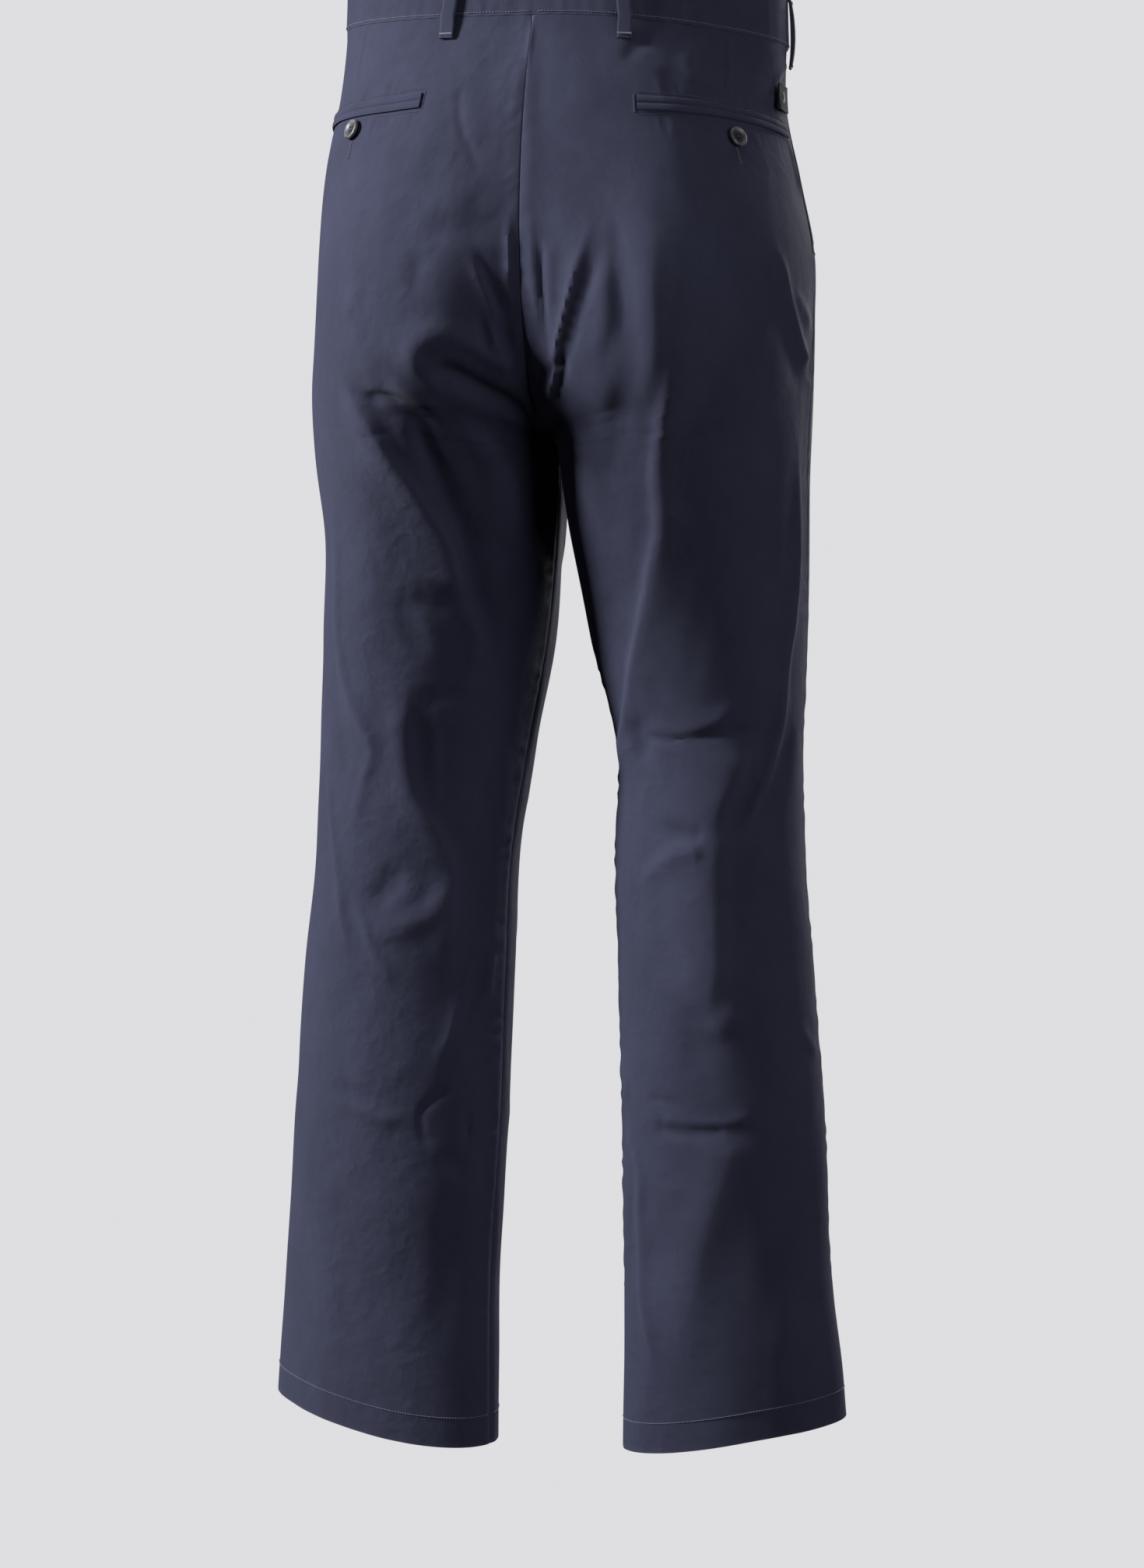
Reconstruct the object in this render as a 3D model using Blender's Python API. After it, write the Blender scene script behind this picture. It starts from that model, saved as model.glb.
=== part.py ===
"""Men's chino trousers, filled out as if worn, open at the waist and at both hems.

Frame: metres, +Z up. The front faces -Y and the wearer's left is +X. The origin is the middle of
the waist, at the height of the waistband's seam at the centre back.

Every piece of cloth is a patch of one surface for each half of the garment. A place on a half is
given by two numbers. "across" runs round it: -1 at the front seam (centre front, then inseam),
0 at the outseam and +1 at the back seam (centre back, then inseam). "drop" is the distance below
the waist seam, measured down the outseam.
"""

import math
from typing import NamedTuple

import bmesh
import bpy
import numpy as np

# Cut and make, in metres
CROTCH_DROP = 0.292
HEM_DROP = 1.045
BAND_HEIGHT = 0.038
HEM_TURN_UP = 0.022
POCKET_SLANT_ACROSS = -0.20
POCKET_SLANT_DROP = 0.165
FACING_UNDER_ACROSS = 0.08
FACING_DROP = 0.200
FLY_LENGTH = 0.170
FLY_WIDTH_ACROSS = 0.16
FLY_OVERLAP_ACROSS = 0.03
FLY_CORNER = 0.040
BAND_OVERLAP_ACROSS = 0.14
BAND_RAMP_ACROSS = 0.12

# Walls and gaps
PANEL_WALL = 0.0012
BAND_WALL = 0.0024
BAND_PROUD = 0.0006
TRIM_WALL = 0.0012
SEAM_HALF_GAP = 0.00015
LAID_ON_GAP = 0.0009
LAID_UNDER_GAP = 0.0004
FLY_GAP = 0.0018
FACING_GAP = 0.0020

# Small parts
LOOP_WIDTH = 0.010
LOOP_ABOVE = 0.036
LOOP_BELOW = 0.015
LOOP_BOW = 0.0030
WELT_HEIGHT = 0.0095
WELT_COLUMNS = 11
POCKET_BUTTON_RADIUS = 0.0076
WAIST_BUTTON_RADIUS = 0.0085
BUTTON_THICK = 0.0030
BUTTON_LIFT = 0.0012
BUTTON_HOLE_RADIUS = 0.0009
BUTTON_HOLE_SPREAD = 0.0016
BUTTON_SEGMENTS = 20
HOLE_SEGMENTS = 8
LABEL_WIDTH = 0.027
LABEL_LENGTH = 0.020
LABEL_CURL = 0.0025

# How finely the cloth is faceted
PANEL_COLUMNS = 12
TORSO_ROWS = 11
LEG_ROWS = 15
BAND_COLUMNS = 13

LEFT = 1
RIGHT = -1
SIDE_NAMES = {LEFT: "left", RIGHT: "right"}


class TorsoRow(NamedTuple):
    """A level above the crotch: the side, and the foremost and rearmost points of one half."""

    drop: float
    left_x: float
    right_x: float
    side_y: float
    front_x: float
    front_y: float
    back_x: float
    back_y: float


class LegRow(NamedTuple):
    """A level of one leg: where it starts and ends across, its depth, and its turn in degrees."""

    drop: float
    outer_x: float
    inner_x: float
    centre_y: float
    front: float
    back: float
    turn: float


class Rise(NamedTuple):
    """A Bezier curve in the plane x = 0, from the crotch up to the waist: (y, z) points."""

    crotch: tuple
    under: tuple
    bulge: tuple
    waist: tuple


class Tilt(NamedTuple):
    """How far a cut edge is raised all round, at its outer side and at its back."""

    level: float
    outer: float
    back: float


TORSO = (
    TorsoRow(-0.040, 0.1645, 0.1640, 0.004, 0.000, -0.106, 0.000, 0.108),
    TorsoRow(0.000, 0.1655, 0.1650, 0.004, 0.000, -0.110, 0.000, 0.114),
    TorsoRow(0.050, 0.1680, 0.1655, 0.006, 0.004, -0.117, 0.014, 0.139),
    TorsoRow(0.100, 0.1755, 0.1755, 0.010, 0.012, -0.118, 0.040, 0.156),
    TorsoRow(0.160, 0.1790, 0.1870, 0.014, 0.030, -0.114, 0.060, 0.170),
    TorsoRow(0.220, 0.1815, 0.1880, 0.016, 0.052, -0.107, 0.074, 0.165),
)
LEGS = {
    LEFT: (
        LegRow(0.292, 0.1860, 0.0004, 0.022, 0.118, 0.120, 0.0),
        LegRow(0.375, 0.1795, 0.0055, 0.008, 0.105, 0.108, 3.0),
        LegRow(0.450, 0.1855, 0.0130, 0.000, 0.097, 0.097, 6.0),
        LegRow(0.530, 0.1895, 0.0270, -0.002, 0.086, 0.088, 9.0),
        LegRow(0.610, 0.1925, 0.0375, 0.004, 0.077, 0.080, 11.0),
        LegRow(0.700, 0.2020, 0.0390, 0.012, 0.071, 0.075, 13.0),
        LegRow(0.800, 0.2105, 0.0395, 0.018, 0.066, 0.069, 15.0),
        LegRow(0.920, 0.2200, 0.0440, 0.022, 0.060, 0.062, 18.0),
        LegRow(1.045, 0.2335, 0.0405, 0.024, 0.054, 0.056, 21.0),
    ),
    RIGHT: (
        LegRow(0.292, 0.1860, 0.0004, 0.022, 0.118, 0.120, 0.0),
        LegRow(0.375, 0.1830, 0.0080, 0.008, 0.105, 0.108, 2.0),
        LegRow(0.450, 0.1820, 0.0205, 0.000, 0.097, 0.097, 4.0),
        LegRow(0.530, 0.1790, 0.0400, -0.002, 0.086, 0.088, 6.0),
        LegRow(0.610, 0.1820, 0.0395, 0.004, 0.077, 0.080, 7.0),
        LegRow(0.700, 0.1905, 0.0440, 0.012, 0.071, 0.075, 8.0),
        LegRow(0.800, 0.1995, 0.0475, 0.018, 0.066, 0.069, 9.0),
        LegRow(0.920, 0.2055, 0.0505, 0.022, 0.060, 0.062, 12.0),
        LegRow(1.045, 0.2185, 0.0500, 0.024, 0.054, 0.056, 15.0),
    ),
}
FRONT_RISE = Rise((0.036, -0.300), (-0.055, -0.302), (-0.128, -0.150), (-0.110, 0.000))
BACK_RISE = Rise((0.036, -0.300), (0.155, -0.302), (0.196, -0.150), (0.114, 0.000))
WAIST_TILT = {LEFT: Tilt(-0.016, 0.003, 0.0), RIGHT: Tilt(-0.016, -0.014, 0.0)}
HEM_TILT = {LEFT: Tilt(-0.001, 0.011, 0.000), RIGHT: Tilt(0.000, 0.012, 0.005)}
WAIST_TILT_DEPTH = 0.25
HEM_TILT_DEPTH = 0.30
SQUARENESS = 2.15
CROTCH_DIP_DEPTH = 0.10
EASE_REACH = 0.040
EASE_SPAN = 0.070
EASE_EDGE = 0.15
EASE_STEPS = ((-1.0, 1.0), (-0.5, 2.0), (0.0, 3.0), (0.5, 2.0), (1.0, 1.0))
CURVE_STEPS = 160


class WeltPlace(NamedTuple):
    """A pocket welt's upper edge: the drop at its inner end, its middle and its outer end."""

    inner_across: float
    outer_across: float
    inner_drop: float
    middle_drop: float
    outer_drop: float


BACK_WELTS = {
    LEFT: WeltPlace(0.680, 0.130, 0.050, 0.058, 0.065),
    RIGHT: WeltPlace(0.670, 0.060, 0.052, 0.055, 0.062),
}
POCKET_BUTTONS = {LEFT: (0.430, 0.076), RIGHT: (0.365, 0.078)}
WAIST_BUTTON = (-0.930, -0.019)
LABEL_START = (0.020, 0.031)


class LoopPlace(NamedTuple):
    """Where a belt loop sits across its half."""

    name: str
    side: int
    across: float


LOOPS = (
    LoopPlace("loop_back_left", LEFT, 0.715),
    LoopPlace("loop_back_right", RIGHT, 0.70),
    LoopPlace("loop_side_left", LEFT, -0.05),
    LoopPlace("loop_side_right", RIGHT, -0.05),
    LoopPlace("loop_front_left", LEFT, -0.62),
    LoopPlace("loop_front_right", RIGHT, -0.62),
)


class Finish(NamedTuple):
    """A material: its colour, roughness and metallic value."""

    name: str
    colour: tuple
    roughness: float
    metallic: float


TWILL = Finish("navy_twill", (0.036, 0.038, 0.068), 0.85, 0.0)
POCKETING = Finish("navy_facing", (0.030, 0.032, 0.060), 0.88, 0.0)
HORN = Finish("grey_horn", (0.10, 0.10, 0.11), 0.35, 0.0)
WOVEN_LABEL = Finish("woven_label", (0.012, 0.012, 0.018), 0.70, 0.0)


def smooth(share):
    """Rises from 0 to 1 with level ends."""
    share = np.clip(share, 0.0, 1.0)
    return share * share * (3.0 - 2.0 * share)


def through(knots, values, at):
    """A smooth curve through values at knots, read at one place."""
    knots = np.asarray(knots, float)
    values = np.asarray(values, float)
    slopes = np.gradient(values, knots, axis=0)
    low = int(np.clip(np.searchsorted(knots, at) - 1, 0, len(knots) - 2))
    step = knots[low + 1] - knots[low]
    share = np.clip((at - knots[low]) / step, 0.0, 1.0)
    rise = share * share * (3.0 - 2.0 * share)
    leave = step * share * (1.0 - share) ** 2
    arrive = step * share * share * (share - 1.0)
    ends = (1.0 - rise) * values[low] + rise * values[low + 1]
    return ends + leave * slopes[low] + arrive * slopes[low + 1]


def lengths(line):
    """The distance along a line of points, at each point."""
    steps = np.linalg.norm(np.diff(line, axis=0), axis=1)
    return np.concatenate([[0.0], np.cumsum(steps)])


def read_line(line, shares):
    """Points of a line at the given shares of its length."""
    run = lengths(line)
    columns = [np.interp(shares * run[-1], run, line[:, axis]) for axis in range(line.shape[1])]
    return np.stack(columns, axis=-1)


def rise_point(rise, share):
    """The (y, z) point of a rise seam at that share of its length above the crotch."""
    t = np.linspace(0.0, 1.0, CURVE_STEPS)[:, None]
    crotch, under, bulge, waist = (np.asarray(point) for point in rise)
    line = (1 - t) ** 3 * crotch + 3 * (1 - t) ** 2 * t * under + 3 * (1 - t) * t**2 * bulge
    line = line + t**3 * waist
    return read_line(line, np.array([share]))[0]


def level_sizes(side, drop):
    """The sizes of one half at a level, from the torso's rows above the crotch and the leg's."""
    knots = [row.drop for row in TORSO] + [row.drop for row in LEGS[side]]
    values = []
    for row in TORSO:
        side_x = row.left_x if side == LEFT else row.right_x
        front = (row.front_x, row.front_y)
        back = (row.back_x, row.back_y)
        values.append((side_x, row.side_y, *front, *back, SEAM_HALF_GAP, FRONT_RISE.crotch[0], 0.0))
    for row in LEGS[side]:
        middle = (row.outer_x + row.inner_x) / 2.0
        front = (middle, row.centre_y - row.front)
        back = (middle, row.centre_y + row.back)
        values.append((row.outer_x, row.centre_y, *front, *back, row.inner_x, row.centre_y, row.turn))
    return through(knots, values, drop)


def quarter_outer(crown, outer):
    """From the foremost or rearmost point round to the outseam, slightly squarer than an ellipse."""
    angle = np.linspace(0.0, math.pi / 2.0, CURVE_STEPS)
    along = np.sin(angle) ** (2.0 / SQUARENESS)
    away = np.cos(angle) ** (2.0 / SQUARENESS)
    x = crown[0] + (outer[0] - crown[0]) * along
    y = outer[1] + (crown[1] - outer[1]) * away
    return np.stack([x, y], axis=-1)


def quarter_inner(crown, seam, inseam_y):
    """From the foremost or rearmost point in to the centre seam, or round to the inseam."""
    angle = np.linspace(0.0, math.pi / 2.0, CURVE_STEPS)
    roundness = np.clip((crown[1] - seam[1]) / (crown[1] - inseam_y), 0.0, 1.0)
    along = np.sin(angle)
    wave = (1.0 - np.cos(math.pi * along)) / 2.0
    inward = (1.0 - roundness) * wave + roundness * (1.0 - np.cos(angle))
    x = crown[0] + (seam[0] - crown[0]) * along
    y = crown[1] + (seam[1] - crown[1]) * inward
    return np.stack([x, y], axis=-1)


def seam_end(rise, drop, crown_y, inseam):
    """The point (x, y, z) where a level meets the centre seam, or the inseam below the crotch."""
    if drop <= 0.0:
        return np.array([SEAM_HALF_GAP, crown_y, -drop])
    if drop >= CROTCH_DROP:
        dip = rise.crotch[1] + CROTCH_DROP
        dip *= 1.0 - smooth((drop - CROTCH_DROP) / CROTCH_DIP_DEPTH)
        return np.array([inseam[0], inseam[1], dip - drop])
    y, z = rise_point(rise, 1.0 - drop / CROTCH_DROP)
    return np.array([SEAM_HALF_GAP, y, z])


def half_level(side, drop, across):
    """Points of one half at one level, at each value of across."""
    sizes = level_sizes(side, drop)
    outer_x, outer_y, front_x, front_y, back_x, back_y, inner_x, inner_y, turn = sizes
    outer = np.array([outer_x, outer_y])
    points = np.zeros((len(across), 3))
    for sign, crown, rise in (
        (-1.0, np.array([front_x, front_y]), FRONT_RISE),
        (1.0, np.array([back_x, back_y]), BACK_RISE),
    ):
        end = seam_end(rise, drop, crown[1], (inner_x, inner_y))
        outer_part = quarter_outer(crown, outer)[::-1]
        line = np.concatenate([outer_part, quarter_inner(crown, end[:2], inner_y)[1:]])
        mine = across * sign >= 0.0
        shares = np.abs(across[mine])
        points[mine, :2] = read_line(line, shares)
        points[mine, 2] = -drop + (end[2] + drop) * smooth(shares) ** 1.5
    middle = np.array([(outer_x + inner_x) / 2.0, outer_y])
    angle = math.radians(turn)
    spin = np.array([[math.cos(angle), -math.sin(angle)], [math.sin(angle), math.cos(angle)]])
    points[:, :2] = (points[:, :2] - middle) @ spin + middle
    points[:, 2] += edge_tilt(side, drop, across)
    return points


def edge_tilt(side, drop, across):
    """How far the waist's and the hem's slopes raise each point of a level."""
    waist = WAIST_TILT[side]
    hem = HEM_TILT[side]
    near_waist = 1.0 - smooth(drop / WAIST_TILT_DEPTH)
    near_hem = smooth((drop - HEM_DROP + HEM_TILT_DEPTH) / HEM_TILT_DEPTH)
    quarter = across * math.pi / 2.0
    at_waist = np.where(across < 0.0, np.sin(quarter) ** 2 * waist.level, 0.0)
    at_waist = at_waist + waist.outer * np.cos(quarter) ** 2
    round_leg = across * math.pi
    at_hem = hem.level + hem.outer * np.cos(round_leg) + hem.back * np.sin(round_leg)
    return near_waist * at_waist + near_hem * at_hem


class HalfSurface:
    """The surface of one half as a grid of points and outward normals, read anywhere between."""

    ROW_STEP = 0.005

    def __init__(self, side):
        self.side = side
        self.across = np.linspace(-1.0, 1.0, 97)
        first = -BAND_HEIGHT - 0.002
        count = int(round((HEM_DROP - first) / self.ROW_STEP)) + 1
        self.drops = np.linspace(first, HEM_DROP, count)
        raw = np.array([half_level(side, drop, self.across) for drop in self.drops])
        self.points = self.eased(raw)
        self.points[..., 0] *= side
        self.normals = self.outward()

    def eased(self, raw):
        """Rounds the fold where the seat turns under into the leg."""
        centre = np.exp(-(((self.drops - CROTCH_DROP) / EASE_SPAN) ** 2))
        edge = np.clip((1.0 - np.abs(self.across)) / EASE_EDGE, 0.0, 1.0)
        reach = EASE_REACH * centre[:, None] * edge[None, :]
        total = np.zeros_like(raw)
        for shift, weight in EASE_STEPS:
            for column in range(len(self.across)):
                at = self.drops + shift * reach[:, column]
                for axis in range(3):
                    values = np.interp(at, self.drops, raw[:, column, axis])
                    total[:, column, axis] += weight * values
        return total / sum(weight for _, weight in EASE_STEPS)

    def outward(self):
        """Unit normals that point out of the garment and agree where front and back meet."""
        along = np.gradient(self.points, axis=1)
        down = np.gradient(self.points, axis=0)
        normals = np.cross(down, along) * self.side
        normals /= np.linalg.norm(normals, axis=-1, keepdims=True)
        leg = self.drops >= CROTCH_DROP
        joined = normals[leg, 0] + normals[leg, -1]
        normals[leg, 0] = joined
        normals[leg, -1] = joined
        normals[~leg, 0, 0] = 0.0
        normals[~leg, -1, 0] = 0.0
        return normals / np.linalg.norm(normals, axis=-1, keepdims=True)

    def read(self, across, drop, out=0.0):
        """Points at the places given, moved out along the normal."""
        across = np.asarray(across, float)
        drop = np.asarray(drop, float)
        column = np.interp(across, self.across, np.arange(len(self.across)))
        row = np.interp(drop, self.drops, np.arange(len(self.drops)))
        left = np.clip(column.astype(int), 0, len(self.across) - 2)
        top = np.clip(row.astype(int), 0, len(self.drops) - 2)
        s = (column - left)[..., None]
        t = (row - top)[..., None]

        def blend(grid):
            upper = grid[top, left] * (1 - s) + grid[top, left + 1] * s
            lower = grid[top + 1, left] * (1 - s) + grid[top + 1, left + 1] * s
            return upper * (1 - t) + lower * t

        normals = blend(self.normals)
        normals /= np.linalg.norm(normals, axis=-1, keepdims=True)
        return blend(self.points) + normals * np.asarray(out)[..., None]

    def frame(self, across, drop):
        """The point, and unit vectors round the body, down the cloth and out of it, at a place."""
        step = 0.002
        point = self.read(across, drop)
        down = self.read(across, drop + step) - self.read(across, drop - step)
        out = self.read(across, drop, 1.0) - point
        down -= out * (down @ out)
        down /= np.linalg.norm(down)
        return point, np.cross(out, down), down, out

    def across_for(self, distance, across, drop):
        """How much "across" a distance takes up at a place."""
        step = 0.02
        ends = self.read(np.array([across - step, across + step]), np.array([drop, drop]))
        return 2.0 * step * distance / float(np.linalg.norm(ends[1] - ends[0]))

    def drop_for(self, distance, across, drop):
        """How much "drop" a distance down the cloth takes up at each place."""
        step = 0.004
        ends = self.read(across, drop + step) - self.read(across, drop - step)
        return 2.0 * step * distance / np.linalg.norm(ends, axis=-1)


def make_material(finish):
    """A Principled material with the finish's values."""
    material = bpy.data.materials.get(finish.name) or bpy.data.materials.new(finish.name)
    material.use_nodes = True
    shader = material.node_tree.nodes["Principled BSDF"]
    shader.inputs["Base Color"].default_value = (*finish.colour, 1.0)
    shader.inputs["Roughness"].default_value = finish.roughness
    shader.inputs["Metallic"].default_value = finish.metallic
    return material


def add_object(name, mesh, finish):
    """Links a mesh into the scene as one named piece."""
    mesh.materials.append(make_material(finish))
    mesh.shade_smooth()
    mesh.set_sharp_from_angle(angle=math.radians(40.0))
    piece = bpy.data.objects.new(name, mesh)
    bpy.context.scene.collection.objects.link(piece)
    return piece


def wall(name, outer, inner, finish, ring=False):
    """A closed cloth wall between two grids of points, open at its edges or joined as a ring."""
    rows, columns = outer.shape[:2]
    form = bmesh.new()
    outside = [[form.verts.new(point) for point in row] for row in outer]
    inside = [[form.verts.new(point) for point in row] for row in inner]
    last = columns if ring else columns - 1
    for row in range(rows - 1):
        for column in range(last):
            after = (column + 1) % columns
            for grid in (outside, inside):
                corners = [grid[row][column], grid[row][after]]
                corners += [grid[row + 1][after], grid[row + 1][column]]
                form.faces.new(corners)
    for row in (0, rows - 1):
        for column in range(last):
            after = (column + 1) % columns
            corners = [outside[row][column], outside[row][after]]
            corners += [inside[row][after], inside[row][column]]
            form.faces.new(corners)
    for column in () if ring else (0, columns - 1):
        for row in range(rows - 1):
            corners = [outside[row][column], outside[row + 1][column]]
            corners += [inside[row + 1][column], inside[row][column]]
            form.faces.new(corners)
    bmesh.ops.recalc_face_normals(form, faces=form.faces)
    mesh = bpy.data.meshes.new(name)
    form.to_mesh(mesh)
    form.free()
    return add_object(name, mesh, finish)


def panel_drops():
    """The levels of a panel's rows: closer together over the seat, with one at the crotch."""
    first = SEAM_HALF_GAP
    torso = np.linspace(first, CROTCH_DROP, TORSO_ROWS + 1)[:-1]
    leg = np.linspace(CROTCH_DROP, HEM_DROP, LEG_ROWS + 1)
    return np.concatenate([torso, leg])


def pocket_edge(drop):
    """Where the front panel ends: at the slanted pocket mouth, and below it at the outseam."""
    return POCKET_SLANT_ACROSS * np.clip(1.0 - drop / POCKET_SLANT_DROP, 0.0, 1.0)


def make_panel(name, surface, start, end):
    """A front or back panel between two edges, each a value of across for every level."""
    drops = panel_drops()
    shares = np.linspace(0.0, 1.0, PANEL_COLUMNS + 1)
    start = np.broadcast_to(start, drops.shape)[:, None]
    end = np.broadcast_to(end, drops.shape)[:, None]
    across = start + (end - start) * shares[None, :]
    levels = np.repeat(drops[:, None], len(shares), axis=1)
    outer = surface.read(across, levels)
    inner = surface.read(across, levels, -PANEL_WALL)
    return wall(name, outer, inner, TWILL)


def make_panels(surface):
    """The front and the back panel of one half."""
    gap = surface.across_for(SEAM_HALF_GAP, 0.5, CROTCH_DROP)
    name = SIDE_NAMES[surface.side]
    make_panel("back_panel_" + name, surface, gap, 1.0 - gap)
    make_panel("front_panel_" + name, surface, -1.0 + gap, pocket_edge(panel_drops()) - gap)


def make_facing(surface):
    """The cloth behind the slanted pocket mouth: level with the back panel, then under the front."""
    gap = surface.across_for(SEAM_HALF_GAP, -0.1, 0.1)
    drops = np.linspace(SEAM_HALF_GAP, FACING_DROP, 9)
    shares = np.linspace(0.0, 1.0, 8)
    edge = pocket_edge(drops)
    start = edge - FACING_UNDER_ACROSS
    across = start[:, None] + (-gap - start)[:, None] * shares[None, :]
    levels = np.repeat(drops[:, None], len(shares), axis=1)
    mouth = np.maximum(np.abs(edge), 1e-6)[:, None]
    under = np.clip(np.abs(across) / (0.6 * mouth), 0.0, 1.0)
    depth = -(PANEL_WALL + FACING_GAP) * under
    outer = surface.read(across, levels, depth)
    inner = surface.read(across, levels, depth - PANEL_WALL)
    wall("side_facing_" + SIDE_NAMES[surface.side], outer, inner, POCKETING)


def make_hem(surface):
    """The turned-up hem: a ring just inside the leg's end."""
    drops = np.array([HEM_DROP - HEM_TURN_UP, HEM_DROP])
    front = np.linspace(-1.0, 0.0, PANEL_COLUMNS + 1)
    across = np.concatenate([front, -front[::-1][1:-1]])
    grid = np.repeat(across[None, :], len(drops), axis=0)
    levels = np.repeat(drops[:, None], len(across), axis=1)
    near = -(PANEL_WALL + LAID_UNDER_GAP)
    outer = surface.read(grid, levels, near)
    inner = surface.read(grid, levels, near - PANEL_WALL)
    wall("hem_" + SIDE_NAMES[surface.side], outer, inner, TWILL, ring=True)


def band_stations():
    """Round the band: (side, across, lift), from its right end under to its left end on top."""
    steps = np.linspace(0.0, 1.0, BAND_COLUMNS)
    stations = [(RIGHT, -1.0 + 2.0 * step, 0.0) for step in steps]
    stations += [(LEFT, 1.0 - 2.0 * step, 0.0) for step in steps[1:]]
    lifted = BAND_WALL + LAID_UNDER_GAP
    raised = []
    for side, across, _ in stations:
        near_end = side == LEFT and across < -1.0 + BAND_RAMP_ACROSS
        raised.append((side, across, lifted if near_end else 0.0))
    for share in (0.35, 0.7, 1.0):
        raised.append((RIGHT, -1.0 + share * BAND_OVERLAP_ACROSS, lifted))
    return raised


def make_waistband(halves):
    """The band: one strip round the waist whose left end laps over its right end."""
    levels = (-BAND_HEIGHT, -BAND_HEIGHT / 2.0, -SEAM_HALF_GAP)
    stations = band_stations()
    outer = np.zeros((len(levels), len(stations), 3))
    inner = np.zeros_like(outer)
    for row, drop in enumerate(levels):
        for column, (side, across, lift) in enumerate(stations):
            out = BAND_PROUD + lift
            outer[row, column] = halves[side].read(across, drop, out)
            inner[row, column] = halves[side].read(across, drop, out - BAND_WALL)
    wall("waistband", outer, inner, TWILL)


def make_loop(surface, place):
    """A belt loop: sewn down above and below, and bowed out between for the belt."""
    drops = np.linspace(-LOOP_ABOVE, LOOP_BELOW, 9)
    shares = (drops + LOOP_ABOVE) / (LOOP_ABOVE + LOOP_BELOW)
    half = surface.across_for(LOOP_WIDTH / 2.0, place.across, 0.0)
    across = np.array([place.across - half, place.across + half])
    grid = np.repeat(across[None, :], len(drops), axis=0)
    levels = np.repeat(drops[:, None], 2, axis=1)
    near = BAND_PROUD + LAID_ON_GAP + LOOP_BOW * np.sin(math.pi * shares) ** 0.7
    near = np.repeat(near[:, None], 2, axis=1)
    outer = surface.read(grid, levels, near + TRIM_WALL)
    inner = surface.read(grid, levels, near)
    wall(place.name, outer, inner, TWILL)


def make_welt(surface, place):
    """The jetting that finishes a back pocket's mouth, laid on the back panel."""
    shares = np.linspace(0.0, 1.0, WELT_COLUMNS)
    across = place.inner_across + (place.outer_across - place.inner_across) * shares
    straight = place.inner_drop + (place.outer_drop - place.inner_drop) * shares
    sag = place.middle_drop - (place.inner_drop + place.outer_drop) / 2.0
    drops = straight + sag * 4.0 * shares * (1.0 - shares)
    grid = np.repeat(across[None, :], 2, axis=0)
    levels = np.stack([drops, drops + surface.drop_for(WELT_HEIGHT, across, drops)])
    outer = surface.read(grid, levels, LAID_ON_GAP + TRIM_WALL)
    inner = surface.read(grid, levels, LAID_ON_GAP)
    wall("back_welt_" + SIDE_NAMES[surface.side], outer, inner, TWILL)


def make_fly(halves):
    """The fly front: the left front's edge, lapped a little over the centre, with a round corner."""
    stations = [(RIGHT, -1.0 + FLY_OVERLAP_ACROSS)]
    stations += [(LEFT, -1.0 + share * FLY_WIDTH_ACROSS) for share in (0.0, 0.25, 0.5, 0.75, 1.0)]
    shares = np.linspace(0.0, 1.0, 11)
    outer = np.zeros((len(shares), len(stations), 3))
    inner = np.zeros_like(outer)
    for column, (side, across) in enumerate(stations):
        inward = (across + 1.0) / FLY_WIDTH_ACROSS if side == LEFT else 0.0
        length = FLY_LENGTH - FLY_CORNER * (1.0 - math.sqrt(max(1.0 - inward**2, 0.0)))
        for row, share in enumerate(shares):
            drop = SEAM_HALF_GAP + LAID_UNDER_GAP + share * length
            outer[row, column] = halves[side].read(across, drop, FLY_GAP + TRIM_WALL)
            inner[row, column] = halves[side].read(across, drop, FLY_GAP)
    wall("fly_front", outer, inner, TWILL)


def make_label(surface):
    """The small flag label sewn in by the pocket, on the wearer's right."""
    across, drop = LABEL_START
    shares = np.linspace(0.0, 1.0, 6)
    width = surface.across_for(LABEL_WIDTH, across, drop)
    grid, levels = np.meshgrid(across + width * shares, np.linspace(drop, drop + LABEL_LENGTH, 4))
    near = LAID_ON_GAP + LABEL_CURL * np.broadcast_to(shares, grid.shape) ** 2
    outer = surface.read(grid, levels, near + TRIM_WALL)
    inner = surface.read(grid, levels, near)
    wall("side_label", outer, inner, WOVEN_LABEL)


def button_profile(radius):
    """A button's half section as (radius, height) points: flat back, round rim, dished face."""
    thick = BUTTON_THICK
    return (
        (0.0, 0.0),
        (radius * 0.80, 0.0),
        (radius, thick * 0.45),
        (radius * 0.97, thick * 0.85),
        (radius * 0.82, thick),
        (radius * 0.64, thick * 0.72),
        (0.0, thick * 0.66),
    )


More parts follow.
